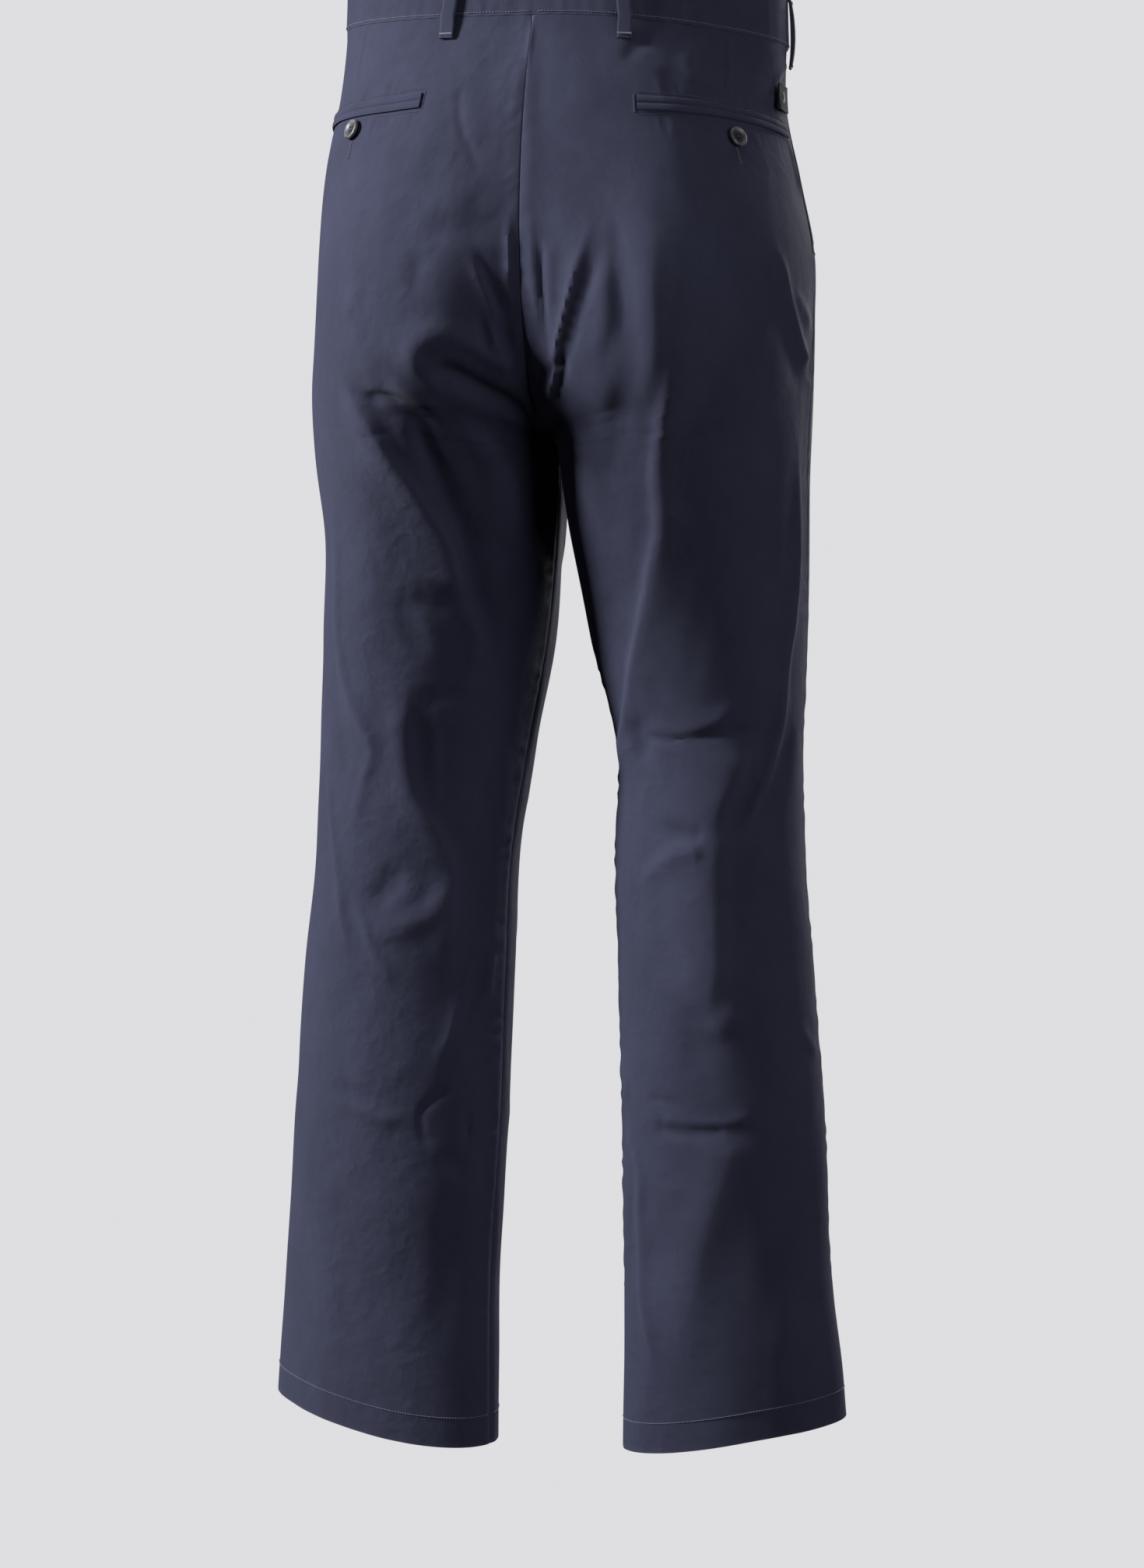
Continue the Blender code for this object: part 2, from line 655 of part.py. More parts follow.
def make_button(name, surface, place, radius, lift):
    """A four-hole button that stands on the cloth at a place, facing out."""
    profile = button_profile(radius)
    form = bmesh.new()
    rings = []
    for distance, height in profile:
        if distance == 0.0:
            rings.append([form.verts.new((0.0, 0.0, height))])
            continue
        turns = [2.0 * math.pi * step / BUTTON_SEGMENTS for step in range(BUTTON_SEGMENTS)]
        ring = [(distance * math.cos(a), distance * math.sin(a), height) for a in turns]
        rings.append([form.verts.new(point) for point in ring])
    for lower, upper in zip(rings[:-1], rings[1:]):
        for step in range(BUTTON_SEGMENTS):
            after = (step + 1) % BUTTON_SEGMENTS
            corners = [lower[step % len(lower)], lower[after % len(lower)]]
            corners += [upper[after % len(upper)], upper[step % len(upper)]]
            form.faces.new(list(dict.fromkeys(corners)))
    bmesh.ops.recalc_face_normals(form, faces=form.faces)
    mesh = bpy.data.meshes.new(name)
    form.to_mesh(mesh)
    form.free()
    button = add_object(name, mesh, HORN)
    for number in range(4):
        angle = math.pi / 4.0 + number * math.pi / 2.0
        pierce(button, angle, number)
    point, sideways, down, out = surface.frame(*place)
    spot = point + out * lift
    columns = (sideways, -down, out)
    matrix = [[float(column[row]) for column in columns] + [float(spot[row])] for row in range(3)]
    button.matrix_world = matrix_of(matrix)


def pierce(button, angle, number):
    """One thread hole, cut through a button."""
    form = bmesh.new()
    bmesh.ops.create_cone(
        form,
        cap_ends=True,
        segments=HOLE_SEGMENTS,
        radius1=BUTTON_HOLE_RADIUS,
        radius2=BUTTON_HOLE_RADIUS,
        depth=4.0 * BUTTON_THICK,
    )
    spread = BUTTON_HOLE_SPREAD
    place = (spread * math.cos(angle), spread * math.sin(angle), 0.0)
    bmesh.ops.translate(form, verts=form.verts, vec=place)
    mesh = bpy.data.meshes.new("{}_hole_{}".format(button.name, number))
    form.to_mesh(mesh)
    form.free()
    cutter = bpy.data.objects.new(mesh.name, mesh)
    bpy.context.scene.collection.objects.link(cutter)
    cutter.hide_render = True
    cutter.display_type = "WIRE"
    cutter.parent = button
    cut = button.modifiers.new("hole_{}".format(number), "BOOLEAN")
    cut.operation = "DIFFERENCE"
    cut.object = cutter


def matrix_of(rows):
    """A 4 x 4 matrix from three rows of rotation and place."""
    return tuple(zip(*[*rows, [0.0, 0.0, 0.0, 1.0]]))


def clear_scene():
    """Removes whatever the scene holds."""
    for old in list(bpy.data.objects):
        bpy.data.objects.remove(old, do_unlink=True)


def main():
    """Makes every piece of the trousers."""
    clear_scene()
    halves = {side: HalfSurface(side) for side in (LEFT, RIGHT)}
    for side, surface in halves.items():
        make_panels(surface)
        make_facing(surface)
        make_hem(surface)
        make_welt(surface, BACK_WELTS[side])
        name = "back_button_" + SIDE_NAMES[side]
        make_button(name, surface, POCKET_BUTTONS[side], POCKET_BUTTON_RADIUS, BUTTON_LIFT)
    make_waistband(halves)
    band_front = BAND_PROUD + BAND_WALL + LAID_UNDER_GAP + BUTTON_LIFT
    make_button("waist_button", halves[RIGHT], WAIST_BUTTON, WAIST_BUTTON_RADIUS, band_front)
    for place in LOOPS:
        make_loop(halves[place.side], place)
    make_fly(halves)
    make_label(halves[RIGHT])


if __name__ == "__main__":
    main()
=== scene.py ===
"""Men's navy cotton chinos, filled out as if worn, with the waist and both hems open.

Metres, +Z up; the front faces -Y and the wearer's left is +X. A place on one half of the garment is
(across, drop): across runs from -1 at the front seam through 0 at the outseam to +1 at the back seam,
and drop is the distance below the waist seam, measured down the outseam.
"""

import logging
import math
from dataclasses import dataclass, field
from enum import Enum
from typing import Callable, Sequence, Union

import bmesh
import bpy
import numpy as np
from mathutils import Euler, Matrix, Vector

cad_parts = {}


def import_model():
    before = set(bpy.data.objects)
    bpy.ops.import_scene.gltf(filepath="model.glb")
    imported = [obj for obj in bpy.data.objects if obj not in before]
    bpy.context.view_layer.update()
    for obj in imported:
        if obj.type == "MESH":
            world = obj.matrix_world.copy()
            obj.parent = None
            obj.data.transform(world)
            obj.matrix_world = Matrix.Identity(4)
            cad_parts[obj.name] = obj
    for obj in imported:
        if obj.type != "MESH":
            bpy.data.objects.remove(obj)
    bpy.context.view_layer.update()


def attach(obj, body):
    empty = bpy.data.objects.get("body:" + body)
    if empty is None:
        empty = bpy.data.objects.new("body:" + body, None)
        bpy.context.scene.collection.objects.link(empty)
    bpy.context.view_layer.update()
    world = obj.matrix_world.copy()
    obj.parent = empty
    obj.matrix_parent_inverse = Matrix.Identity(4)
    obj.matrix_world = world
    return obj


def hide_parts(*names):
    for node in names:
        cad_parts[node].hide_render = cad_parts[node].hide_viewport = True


LOG = logging.getLogger("chinos")
MM = 0.001
Number = Union[float, "Value"]
Path = tuple[tuple[float, float], ...]


class Side(Enum):
    """The wearer's left or right half."""

    LEFT = 1
    RIGHT = -1

    @property
    def word(self) -> str:
        """The side's name in lower case."""
        return self.name.lower()


class Held(Enum):
    """How a sheet of cloth is held."""

    HUNG = "hung"
    STRETCHED = "stretched"


# ---------------------------------------------------------------------------------------------
# Cut and form
# ---------------------------------------------------------------------------------------------


@dataclass(frozen=True)
class Cut:
    """The garment's own sizes, in metres.

    laid_under is the gap between a layer of cloth and the one over it. half_girth and hem_girth
    are round figures for the cloth from one outseam to the inseam, or round a hem: they lay the
    weave out and space the columns.
    """

    crotch_drop: float = 0.292
    hem_drop: float = 1.045
    band_height: float = 0.038
    hem_turn_up: float = 0.022
    mouth_across: float = -0.20
    mouth_drop: float = 0.165
    facing_under: float = 0.08
    facing_drop: float = 0.200
    fly_length: float = 0.170
    fly_width: float = 0.16
    fly_overlap: float = 0.03
    fly_corner: float = 0.040
    band_overlap: float = 0.14
    cloth: float = 0.0011
    band_wall: float = 0.0022
    band_proud: float = 0.0006
    seam_gap: float = 0.00015
    laid_under: float = 0.0004
    half_girth: float = 0.24
    hem_girth: float = 0.19


CUT = Cut()


@dataclass(frozen=True)
class TorsoRow:
    """A level above the crotch: the side, and the foremost and rearmost points of one half."""

    drop: float
    left_x: float
    right_x: float
    side_y: float
    front_x: float
    front_y: float
    back_x: float
    back_y: float


@dataclass(frozen=True)
class LegRow:
    """A level of one leg: where it starts and ends across, its depth, and its turn in degrees."""

    drop: float
    outer_x: float
    inner_x: float
    centre_y: float
    front: float
    back: float
    turn: float


TORSO = (
    TorsoRow(-0.040, 0.1645, 0.1640, 0.004, 0.000, -0.106, 0.000, 0.108),
    TorsoRow(0.000, 0.1655, 0.1650, 0.004, 0.000, -0.110, 0.000, 0.114),
    TorsoRow(0.050, 0.1680, 0.1655, 0.006, 0.004, -0.117, 0.014, 0.139),
    TorsoRow(0.100, 0.1755, 0.1755, 0.010, 0.012, -0.118, 0.040, 0.156),
    TorsoRow(0.160, 0.1790, 0.1870, 0.014, 0.030, -0.114, 0.060, 0.170),
    TorsoRow(0.220, 0.1815, 0.1880, 0.016, 0.052, -0.107, 0.074, 0.165),
)
LEGS = {
    Side.LEFT: (
        LegRow(0.292, 0.1860, 0.0004, 0.022, 0.118, 0.120, 0.0),
        LegRow(0.375, 0.1795, 0.0055, 0.008, 0.105, 0.108, 3.0),
        LegRow(0.450, 0.1855, 0.0130, 0.000, 0.097, 0.097, 6.0),
        LegRow(0.530, 0.1895, 0.0270, -0.002, 0.086, 0.088, 9.0),
        LegRow(0.610, 0.1925, 0.0375, 0.004, 0.077, 0.080, 11.0),
        LegRow(0.700, 0.2020, 0.0390, 0.012, 0.071, 0.075, 13.0),
        LegRow(0.800, 0.2105, 0.0395, 0.018, 0.066, 0.069, 15.0),
        LegRow(0.920, 0.2200, 0.0440, 0.022, 0.060, 0.062, 18.0),
        LegRow(1.045, 0.2335, 0.0405, 0.024, 0.054, 0.056, 21.0),
    ),
    Side.RIGHT: (
        LegRow(0.292, 0.1860, 0.0004, 0.022, 0.118, 0.120, 0.0),
        LegRow(0.375, 0.1830, 0.0080, 0.008, 0.105, 0.108, 2.0),
        LegRow(0.450, 0.1820, 0.0205, 0.000, 0.097, 0.097, 4.0),
        LegRow(0.530, 0.1790, 0.0400, -0.002, 0.086, 0.088, 6.0),
        LegRow(0.610, 0.1820, 0.0395, 0.004, 0.077, 0.080, 7.0),
        LegRow(0.700, 0.1905, 0.0440, 0.012, 0.071, 0.075, 8.0),
        LegRow(0.800, 0.1995, 0.0475, 0.018, 0.066, 0.069, 9.0),
        LegRow(0.920, 0.2055, 0.0505, 0.022, 0.060, 0.062, 12.0),
        LegRow(1.045, 0.2185, 0.0500, 0.024, 0.054, 0.056, 15.0),
    ),
}


def smooth(share: np.ndarray) -> np.ndarray:
    """Rises from 0 to 1 with level ends."""
    share = np.clip(share, 0.0, 1.0)
    return share * share * (3.0 - 2.0 * share)


def lengths(line: np.ndarray) -> np.ndarray:
    """The distance along a line of points, at each point."""
    steps = np.linalg.norm(np.diff(line, axis=0), axis=1)
    return np.concatenate([[0.0], np.cumsum(steps)])


def read_line(line: np.ndarray, shares: np.ndarray) -> np.ndarray:
    """Points of a line at the given shares of its length."""
    run = lengths(line)
    return np.stack([np.interp(shares * run[-1], run, values) for values in line.T], axis=-1)


def rounded(points: np.ndarray, cuts: int = 5) -> np.ndarray:
    """A smooth line through the points.

    Args:
        points: The points that it goes through.
        cuts: How many points each span gets.

    Returns:
        The points of the smooth line.
    """
    points = np.asarray(points, float)
    before = np.concatenate([[2.0 * points[0] - points[1]], points[:-1]])
    after = np.concatenate([points[1:], [2.0 * points[-1] - points[-2]]])
    slopes = (after - before) / 2.0
    t = np.linspace(0.0, 1.0, cuts, endpoint=False)[:, None]
    rise = t * t * (3.0 - 2.0 * t)
    spans = []
    for low in range(len(points) - 1):
        ends = (1.0 - rise) * points[low] + rise * points[low + 1]
        leave = t * (1.0 - t) ** 2 * slopes[low]
        spans.append(ends + leave + t * t * (t - 1.0) * slopes[low + 1])
    return np.concatenate([*spans, points[-1:]])


def along_and_aside(line: np.ndarray, x: np.ndarray, y: np.ndarray) -> tuple[np.ndarray, np.ndarray]:
    """Where each point lies by a line.

    Args:
        line: The line's points, in metres across and down.
        x: The points' distances across.
        y: Their distances down.

    Returns:
        The distance along the line and the signed distance aside from it. Aside is above 0 on the side
        of larger across, for a line that goes down.
    """
    nearest = np.full(x.shape, np.inf)
    along = np.zeros(x.shape)
    aside = np.zeros(x.shape)
    for start, end, done in zip(line[:-1], line[1:], lengths(line)[:-1]):
        step = end - start
        size = float(np.hypot(*step))
        unit = step / size
        dx = x - start[0]
        dy = y - start[1]
        here = np.clip(dx * unit[0] + dy * unit[1], 0.0, size)
        distance = np.hypot(dx - here * unit[0], dy - here * unit[1])
        closer = distance < nearest
        nearest = np.where(closer, distance, nearest)
        along = np.where(closer, done + here, along)
        turn = np.where(dx * unit[1] - dy * unit[0] >= 0.0, 1.0, -1.0)
        aside = np.where(closer, distance * turn, aside)
    return along, aside


@dataclass(frozen=True)
class Fold:
    """A crease: a ridge if it is high, a trough if its height is below 0.

    Its width and height are in millimetres. lean makes one flank long and the other steep: above 0
    the long flank is on the side of larger across. sharp is 2 for a round crest and near 1 for a
    pinched one. ends are the shares of its length over which it dies away.
    """

    path: Path
    width: float
    height: float
    lean: float = 0.0
    sharp: float = 2.0
    ends: tuple[float, float] = (0.35, 0.35)

    def relief(self, x: np.ndarray, y: np.ndarray, girth: Callable) -> np.ndarray:
        """How far the fold moves each point out.

        Args:
            x: The points' distances across, in metres.
            y: Their drops.
            girth: The metres that one unit of across takes up at a drop.

        Returns:
            The height at each point, in metres.
        """
        places = rounded(np.array(self.path))
        line = np.stack([places[:, 0] * girth(places[:, 1]), places[:, 1]], axis=-1)
        reach = 3.5 * self.width * MM * (1.0 + abs(self.lean))
        low = line.min(axis=0) - reach
        high = line.max(axis=0) + reach
        near = (x > low[0]) & (x < high[0]) & (y > low[1]) & (y < high[1])
        total = np.zeros(x.shape)
        if not near.any():
            return total
        along, aside = along_and_aside(line, x[near], y[near])
        share = along / lengths(line)[-1]
        start, end = self.ends
        fade = smooth(share / max(start, 1e-3)) * smooth((1.0 - share) / max(end, 1e-3))
        flank = self.width * MM * np.where(aside > 0.0, 1.0 + self.lean, 1.0 - self.lean)
        crest = np.maximum(np.sqrt((aside / flank) ** 2 + 0.0144) - 0.12, 0.0)
        total[near] = self.height * MM * fade * np.exp(-(crest**self.sharp))
        return total


@dataclass(frozen=True)
class Ripples:
    """Short puckers that a tight thread pulls up along a seam, uneven in height and spacing."""

    path: Path
    pitch: float
    reach: float
    height: float
    seed: float = 0.0

    def relief(self, x: np.ndarray, y: np.ndarray, girth: Callable) -> np.ndarray:
        """How far the puckers move each point out, as Fold.relief."""
        places = rounded(np.array(self.path))
        line = np.stack([places[:, 0] * girth(places[:, 1]), places[:, 1]], axis=-1)
        along, aside = along_and_aside(line, x, y)
        turns = along / (self.pitch * MM) * 2.0 * math.pi + self.seed
        wave = np.sin(turns + 1.3 * np.sin(turns * 0.37 + self.seed))
        size = 0.6 + 0.4 * np.sin(turns * 0.23 + 2.0 * self.seed)
        share = along / lengths(line)[-1]
        fade = smooth(share * 8.0) * smooth((1.0 - share) * 8.0)
        return self.height * MM * wave * size * fade * np.exp(-((aside / (self.reach * MM)) ** 2))


# Folds of the wearer's right half as (across, drop) paths, from the waist down.
RIGHT_FOLDS = (
    Fold(((0.66, 0.060), (0.66, 0.110), (0.62, 0.165), (0.58, 0.215), (0.54, 0.262), (0.50, 0.32)),
         30, 4.6, -0.2, 1.5),
    Fold(((0.60, 0.215), (0.54, 0.265), (0.51, 0.30), (0.51, 0.355), (0.54, 0.385), (0.60, 0.43),
          (0.70, 0.485), (0.79, 0.515), (0.90, 0.553)), 11, 4.4, -0.5, 1.4, (0.2, 0.1)),
    Fold(((0.79, 0.120), (0.83, 0.145), (0.865, 0.172), (0.895, 0.195), (0.905, 0.215), (0.93, 0.232)),
         4, 3.0, 0.4, 1.2, (0.35, 0.1)),
    Fold(((0.76, 0.130), (0.80, 0.155), (0.835, 0.18), (0.86, 0.20), (0.88, 0.215)), 5, -1.7),
    Fold(((0.775, 0.135), (0.770, 0.165), (0.765, 0.19), (0.78, 0.215)), 6, 1.6),
    Fold(((0.745, 0.115), (0.735, 0.15), (0.72, 0.18), (0.695, 0.215)), 5, -1.2),
    Fold(((0.70, 0.20), (0.68, 0.225), (0.66, 0.25), (0.63, 0.275), (0.605, 0.31), (0.60, 0.35)), 11, -1.6),
    Fold(((0.67, 0.13), (0.665, 0.165), (0.645, 0.20), (0.62, 0.235), (0.58, 0.265)), 8, 2.2),
    Fold(((0.965, 0.110), (0.962, 0.15), (0.950, 0.19)), 3, 1.5, 0.0, 1.5),
    Fold(((0.945, 0.125), (0.940, 0.16), (0.930, 0.195)), 3, -1.5),
    Fold(((0.920, 0.125), (0.915, 0.155), (0.918, 0.185)), 4, 1.2),
    Fold(((0.960, 0.195), (0.930, 0.208), (0.885, 0.205), (0.875, 0.225)), 4, -2.0),
    Fold(((0.85, 0.225), (0.81, 0.26), (0.72, 0.30), (0.685, 0.35), (0.69, 0.40)), 12, 1.9),
    Fold(((0.90, 0.240), (0.86, 0.275), (0.79, 0.31), (0.76, 0.35)), 8, -1.2),
    Fold(((0.30, 0.150), (0.25, 0.172), (0.22, 0.195), (0.165, 0.218), (0.12, 0.233), (0.05, 0.247)),
         4.5, 2.3, 0.0, 1.4, (0.4, 0.1)),
    Fold(((0.20, 0.190), (0.12, 0.205), (0.02, 0.222)), 6, 1.2),
    Fold(((0.26, 0.200), (0.19, 0.230), (0.12, 0.255), (0.05, 0.262)), 9, -1.6),
    Fold(((0.10, 0.29), (0.10, 0.34), (0.11, 0.39), (0.15, 0.43), (0.20, 0.465), (0.225, 0.50),
          (0.27, 0.53), (0.32, 0.555), (0.38, 0.585), (0.46, 0.605)), 5, 2.4, 0.0, 1.4, (0.25, 0.2)),
    Fold(((0.25, 0.48), (0.285, 0.515), (0.33, 0.54), (0.40, 0.57), (0.47, 0.60)), 8, -3.8),
    Fold(((0.16, 0.50), (0.20, 0.53), (0.26, 0.56), (0.33, 0.60)), 9, -2.2),
    Fold(((0.70, 0.517), (0.60, 0.519), (0.50, 0.516), (0.40, 0.512), (0.30, 0.512)), 2.6, -1.6, 0.0, 1.5,
         (0.15, 0.15)),
    Fold(((0.66, 0.508), (0.55, 0.511), (0.44, 0.503), (0.36, 0.485)), 6, 1.3, 0.0, 1.6),
    Fold(((0.71, 0.50), (0.70, 0.52), (0.695, 0.54)), 8, -2.0),
    Fold(((0.36, 0.515), (0.42, 0.56), (0.48, 0.60), (0.495, 0.65), (0.52, 0.70), (0.60, 0.76)),
         26, 4.4, 0.35, 1.5, (0.1, 0.3)),
    Fold(((0.50, 0.598), (0.58, 0.602), (0.68, 0.618), (0.76, 0.64)), 7, 1.7, 0.0, 1.5, (0.1, 0.5)),
    Fold(((0.50, 0.589), (0.60, 0.585), (0.68, 0.578)), 6, -1.6, 0.0, 2.0, (0.1, 0.5)),
    Fold(((0.53, 0.738), (0.46, 0.722), (0.41, 0.712)), 8, 1.1),
    Fold(((0.58, 0.70), (0.56, 0.735), (0.58, 0.77)), 9, -1.2),
    Fold(((0.78, 0.787), (0.70, 0.785), (0.61, 0.790)), 2, -0.9, 0.0, 1.5),
    Fold(((0.72, 0.798), (0.60, 0.799), (0.50, 0.799), (0.38, 0.794)), 4, 1.4, 0.0, 1.5, (0.15, 0.25)),
    Fold(((0.74, 0.806), (0.62, 0.808), (0.49, 0.806)), 4, -1.7, 0.0, 1.7, (0.15, 0.15)),
    Fold(((0.47, 0.805), (0.52, 0.84), (0.57, 0.87), (0.62, 0.905), (0.66, 0.95), (0.66, 1.0)),
         22, 3.4, 0.3, 1.5, (0.1, 0.4)),
    Fold(((0.93, 0.755), (0.885, 0.775), (0.86, 0.792)), 3, 1.5, 0.0, 1.5),
    Fold(((0.91, 0.805), (0.86, 0.82), (0.815, 0.84), (0.825, 0.87), (0.82, 0.895), (0.825, 0.925),
          (0.80, 0.965), (0.79, 1.0)), 5, 2.2, 0.0, 1.5, (0.1, 0.3)),
    Fold(((0.87, 0.845), (0.885, 0.88), (0.88, 0.92)), 5, -1.3),
    Fold(((0.93, 0.66), (0.925, 0.70), (0.935, 0.75)), 3, 1.3),
    Fold(((0.22, 0.73), (0.15, 0.745), (0.08, 0.755)), 5, 1.0),
    Fold(((0.25, 0.90), (0.30, 0.95), (0.33, 1.0)), 14, 1.4),
    Fold(((0.60, 0.012), (0.66, 0.018), (0.71, 0.032)), 4, -1.1),
    Fold(((0.53, 0.018), (0.50, 0.030), (0.49, 0.045)), 6, 0.9),
    Fold(((0.58, 0.030), (0.56, 0.042), (0.52, 0.048)), 5, -0.8),
    Fold(((0.350, 0.0), (0.355, 0.028), (0.366, 0.056)), 1.6, 0.9, 0.0, 1.6, (0.05, 0.3)),
    Fold(((0.368, 0.0), (0.372, 0.028), (0.380, 0.056)), 1.0, -0.9, 0.0, 1.6, (0.05, 0.3)),
    Fold(((-0.035, 0.010), (0.05, 0.018), (0.155, 0.0325)), 3.0, 1.2, 0.0, 1.5),
    Fold(((0.155, 0.0325), (0.150, 0.045), (0.125, 0.054)), 2.5, -1.4, 0.0, 1.6),
    Fold(((0.055, 0.064), (0.045, 0.075), (0.040, 0.100), (0.025, 0.125)), 2.0, 1.1, 0.0, 1.5),
)
# Folds of the wearer's left half.
LEFT_FOLDS = (
    Fold(((0.69, 0.232), (0.715, 0.205), (0.80, 0.190), (0.88, 0.195), (0.96, 0.206)), 9, 3.2, 0.3, 1.6,
         (0.2, 0.05)),
    Fold(((0.725, 0.235), (0.78, 0.217), (0.85, 0.222), (0.93, 0.236), (0.985, 0.262)), 9, -6.0, -0.2, 1.8,
         (0.2, 0.1)),
    Fold(((0.93, 0.250), (0.92, 0.30), (0.93, 0.35), (0.90, 0.40)), 14, -4.0, 0.0, 2.0, (0.2, 0.4)),
    Fold(((0.43, 0.235), (0.475, 0.272), (0.49, 0.31), (0.55, 0.345), (0.615, 0.375), (0.645, 0.40),
          (0.64, 0.42)), 13, 5.0, -0.5, 1.4, (0.3, 0.1)),
    Fold(((0.53, 0.262), (0.60, 0.272), (0.578, 0.30), (0.59, 0.33), (0.64, 0.365), (0.675, 0.395),
          (0.715, 0.42), (0.76, 0.445), (0.81, 0.47)), 9, -5.8, 0.3, 1.8, (0.3, 0.25)),
    Fold(((0.500, 0.264), (0.55, 0.256), (0.62, 0.258)), 5, -1.7, 0.0, 2.0, (0.2, 0.5)),
    Fold(((0.58, 0.238), (0.64, 0.243), (0.70, 0.262)), 8, 1.6),
    Fold(((0.74, 0.260), (0.73, 0.30), (0.75, 0.34), (0.78, 0.39)), 13, 4.6),
    Fold(((0.66, 0.415), (0.70, 0.43), (0.725, 0.45), (0.715, 0.465), (0.695, 0.478)), 7, 1.7, -0.3, 1.5),
    Fold(((0.515, 0.405), (0.53, 0.43), (0.57, 0.452), (0.595, 0.465)), 8, -1.5),
    Fold(((0.53, 0.414), (0.60, 0.423), (0.655, 0.428)), 6, -1.2, 0.0, 2.0, (0.3, 0.4)),
    Fold(((0.590, 0.493), (0.66, 0.488), (0.71, 0.482)), 6, -1.4, 0.0, 2.0, (0.2, 0.4)),
    Fold(((0.59, 0.492), (0.60, 0.52), (0.62, 0.55), (0.66, 0.585)), 14, -2.8, 0.3, 1.8, (0.35, 0.5)),
    Fold(((0.54, 0.465), (0.555, 0.50), (0.575, 0.53), (0.61, 0.565), (0.70, 0.595), (0.755, 0.625),
          (0.77, 0.66), (0.75, 0.70)), 11, 3.2, -0.4, 1.6, (0.2, 0.2)),
    Fold(((0.80, 0.60), (0.84, 0.64), (0.83, 0.69), (0.80, 0.73)), 11, -2.6),
    Fold(((0.30, 0.32), (0.285, 0.37), (0.295, 0.41), (0.305, 0.44), (0.33, 0.465), (0.37, 0.49),
          (0.44, 0.515), (0.475, 0.532), (0.45, 0.555), (0.43, 0.585), (0.44, 0.62)), 5, 1.8, 0.0, 1.5),
    Fold(((0.26, 0.47), (0.30, 0.49), (0.36, 0.52), (0.39, 0.56)), 9, -1.5),
    Fold(((0.29, 0.52), (0.30, 0.555), (0.33, 0.59), (0.37, 0.62), (0.40, 0.65), (0.44, 0.68),
          (0.475, 0.705)), 3.2, 1.3, 0.0, 1.4),
    Fold(((0.43, 0.632), (0.48, 0.655), (0.53, 0.68), (0.58, 0.697), (0.60, 0.715)), 3.2, 1.3, 0.0, 1.4),
    Fold(((0.60, 0.61), (0.56, 0.632), (0.50, 0.652)), 9, -2.2),
    Fold(((0.48, 0.662), (0.58, 0.664), (0.69, 0.652), (0.745, 0.632), (0.765, 0.61)), 8, 1.8),
    Fold(((0.89, 0.662), (0.86, 0.69), (0.82, 0.71), (0.79, 0.737), (0.765, 0.757), (0.735, 0.785)),
         5, 2.2, -0.3, 1.5),
    Fold(((0.91, 0.672), (0.88, 0.70), (0.845, 0.722), (0.81, 0.745)), 6, -2.8),
    Fold(((0.93, 0.680), (0.915, 0.70), (0.91, 0.725)), 3.5, 1.3),
    Fold(((0.80, 0.782), (0.75, 0.789), (0.705, 0.799)), 2.6, -1.5, 0.0, 1.5, (0.3, 0.05)),
    Fold(((0.705, 0.797), (0.715, 0.815), (0.75, 0.828)), 2.6, -1.0, 0.0, 1.5, (0.05, 0.4)),
    Fold(((0.40, 0.793), (0.50, 0.800), (0.60, 0.806), (0.69, 0.800)), 4.5, 1.0),
    Fold(((0.42, 0.781), (0.50, 0.788), (0.60, 0.793)), 4, -0.7),
    Fold(((0.855, 0.800), (0.862, 0.812), (0.860, 0.826)), 2.6, -1.8, 0.0, 1.6),
    Fold(((0.77, 0.828), (0.82, 0.838), (0.88, 0.842)), 6, -1.8),
    Fold(((0.91, 0.838), (0.945, 0.850), (0.975, 0.866)), 2.6, -1.4, 0.0, 1.6),
    Fold(((0.88, 0.845), (0.84, 0.88), (0.83, 0.93), (0.80, 0.98)), 11, -1.5),
    Fold(((0.30, 0.84), (0.36, 0.88), (0.40, 0.94), (0.42, 1.0)), 16, 1.3),
    Fold(((0.795, 0.045), (0.82, 0.068), (0.87, 0.088), (0.90, 0.10)), 2.2, -0.9, 0.0, 1.5, (0.1, 0.3)),
    Fold(((0.74, 0.140), (0.78, 0.131), (0.86, 0.128), (0.955, 0.131)), 7, -1.5),
    Fold(((0.72, 0.118), (0.80, 0.112), (0.90, 0.112)), 9, 1.1),
    Fold(((0.865, 0.138), (0.90, 0.155), (0.92, 0.167), (0.945, 0.183)), 3, 1.6, 0.0, 1.5),
    Fold(((0.885, 0.135), (0.918, 0.152), (0.94, 0.165), (0.962, 0.182)), 2.6, -1.7, 0.0, 1.5),
    Fold(((0.975, 0.115), (0.972, 0.14), (0.968, 0.165)), 2.4, 1.6, 0.0, 1.5),
    Fold(((0.890, 0.172), (0.898, 0.185), (0.910, 0.200)), 3, -1.7),
    Fold(((0.915, 0.172), (0.922, 0.185), (0.935, 0.198)), 2.4, 1.3),
    Fold(((0.955, 0.176), (0.962, 0.190), (0.975, 0.205)), 3, -1.8),
    Fold(((0.76, 0.140), (0.735, 0.155), (0.72, 0.175)), 6, -1.1),
    Fold(((0.58, 0.170), (0.54, 0.185), (0.49, 0.205)), 6, 0.8),
    Fold(((0.340, 0.0), (0.350, 0.028), (0.380, 0.056)), 1.4, 0.5, 0.0, 1.6, (0.05, 0.3)),
    Fold(((0.355, 0.0), (0.366, 0.028), (0.396, 0.056)), 1.0, -0.6, 0.0, 1.6, (0.05, 0.3)),
)
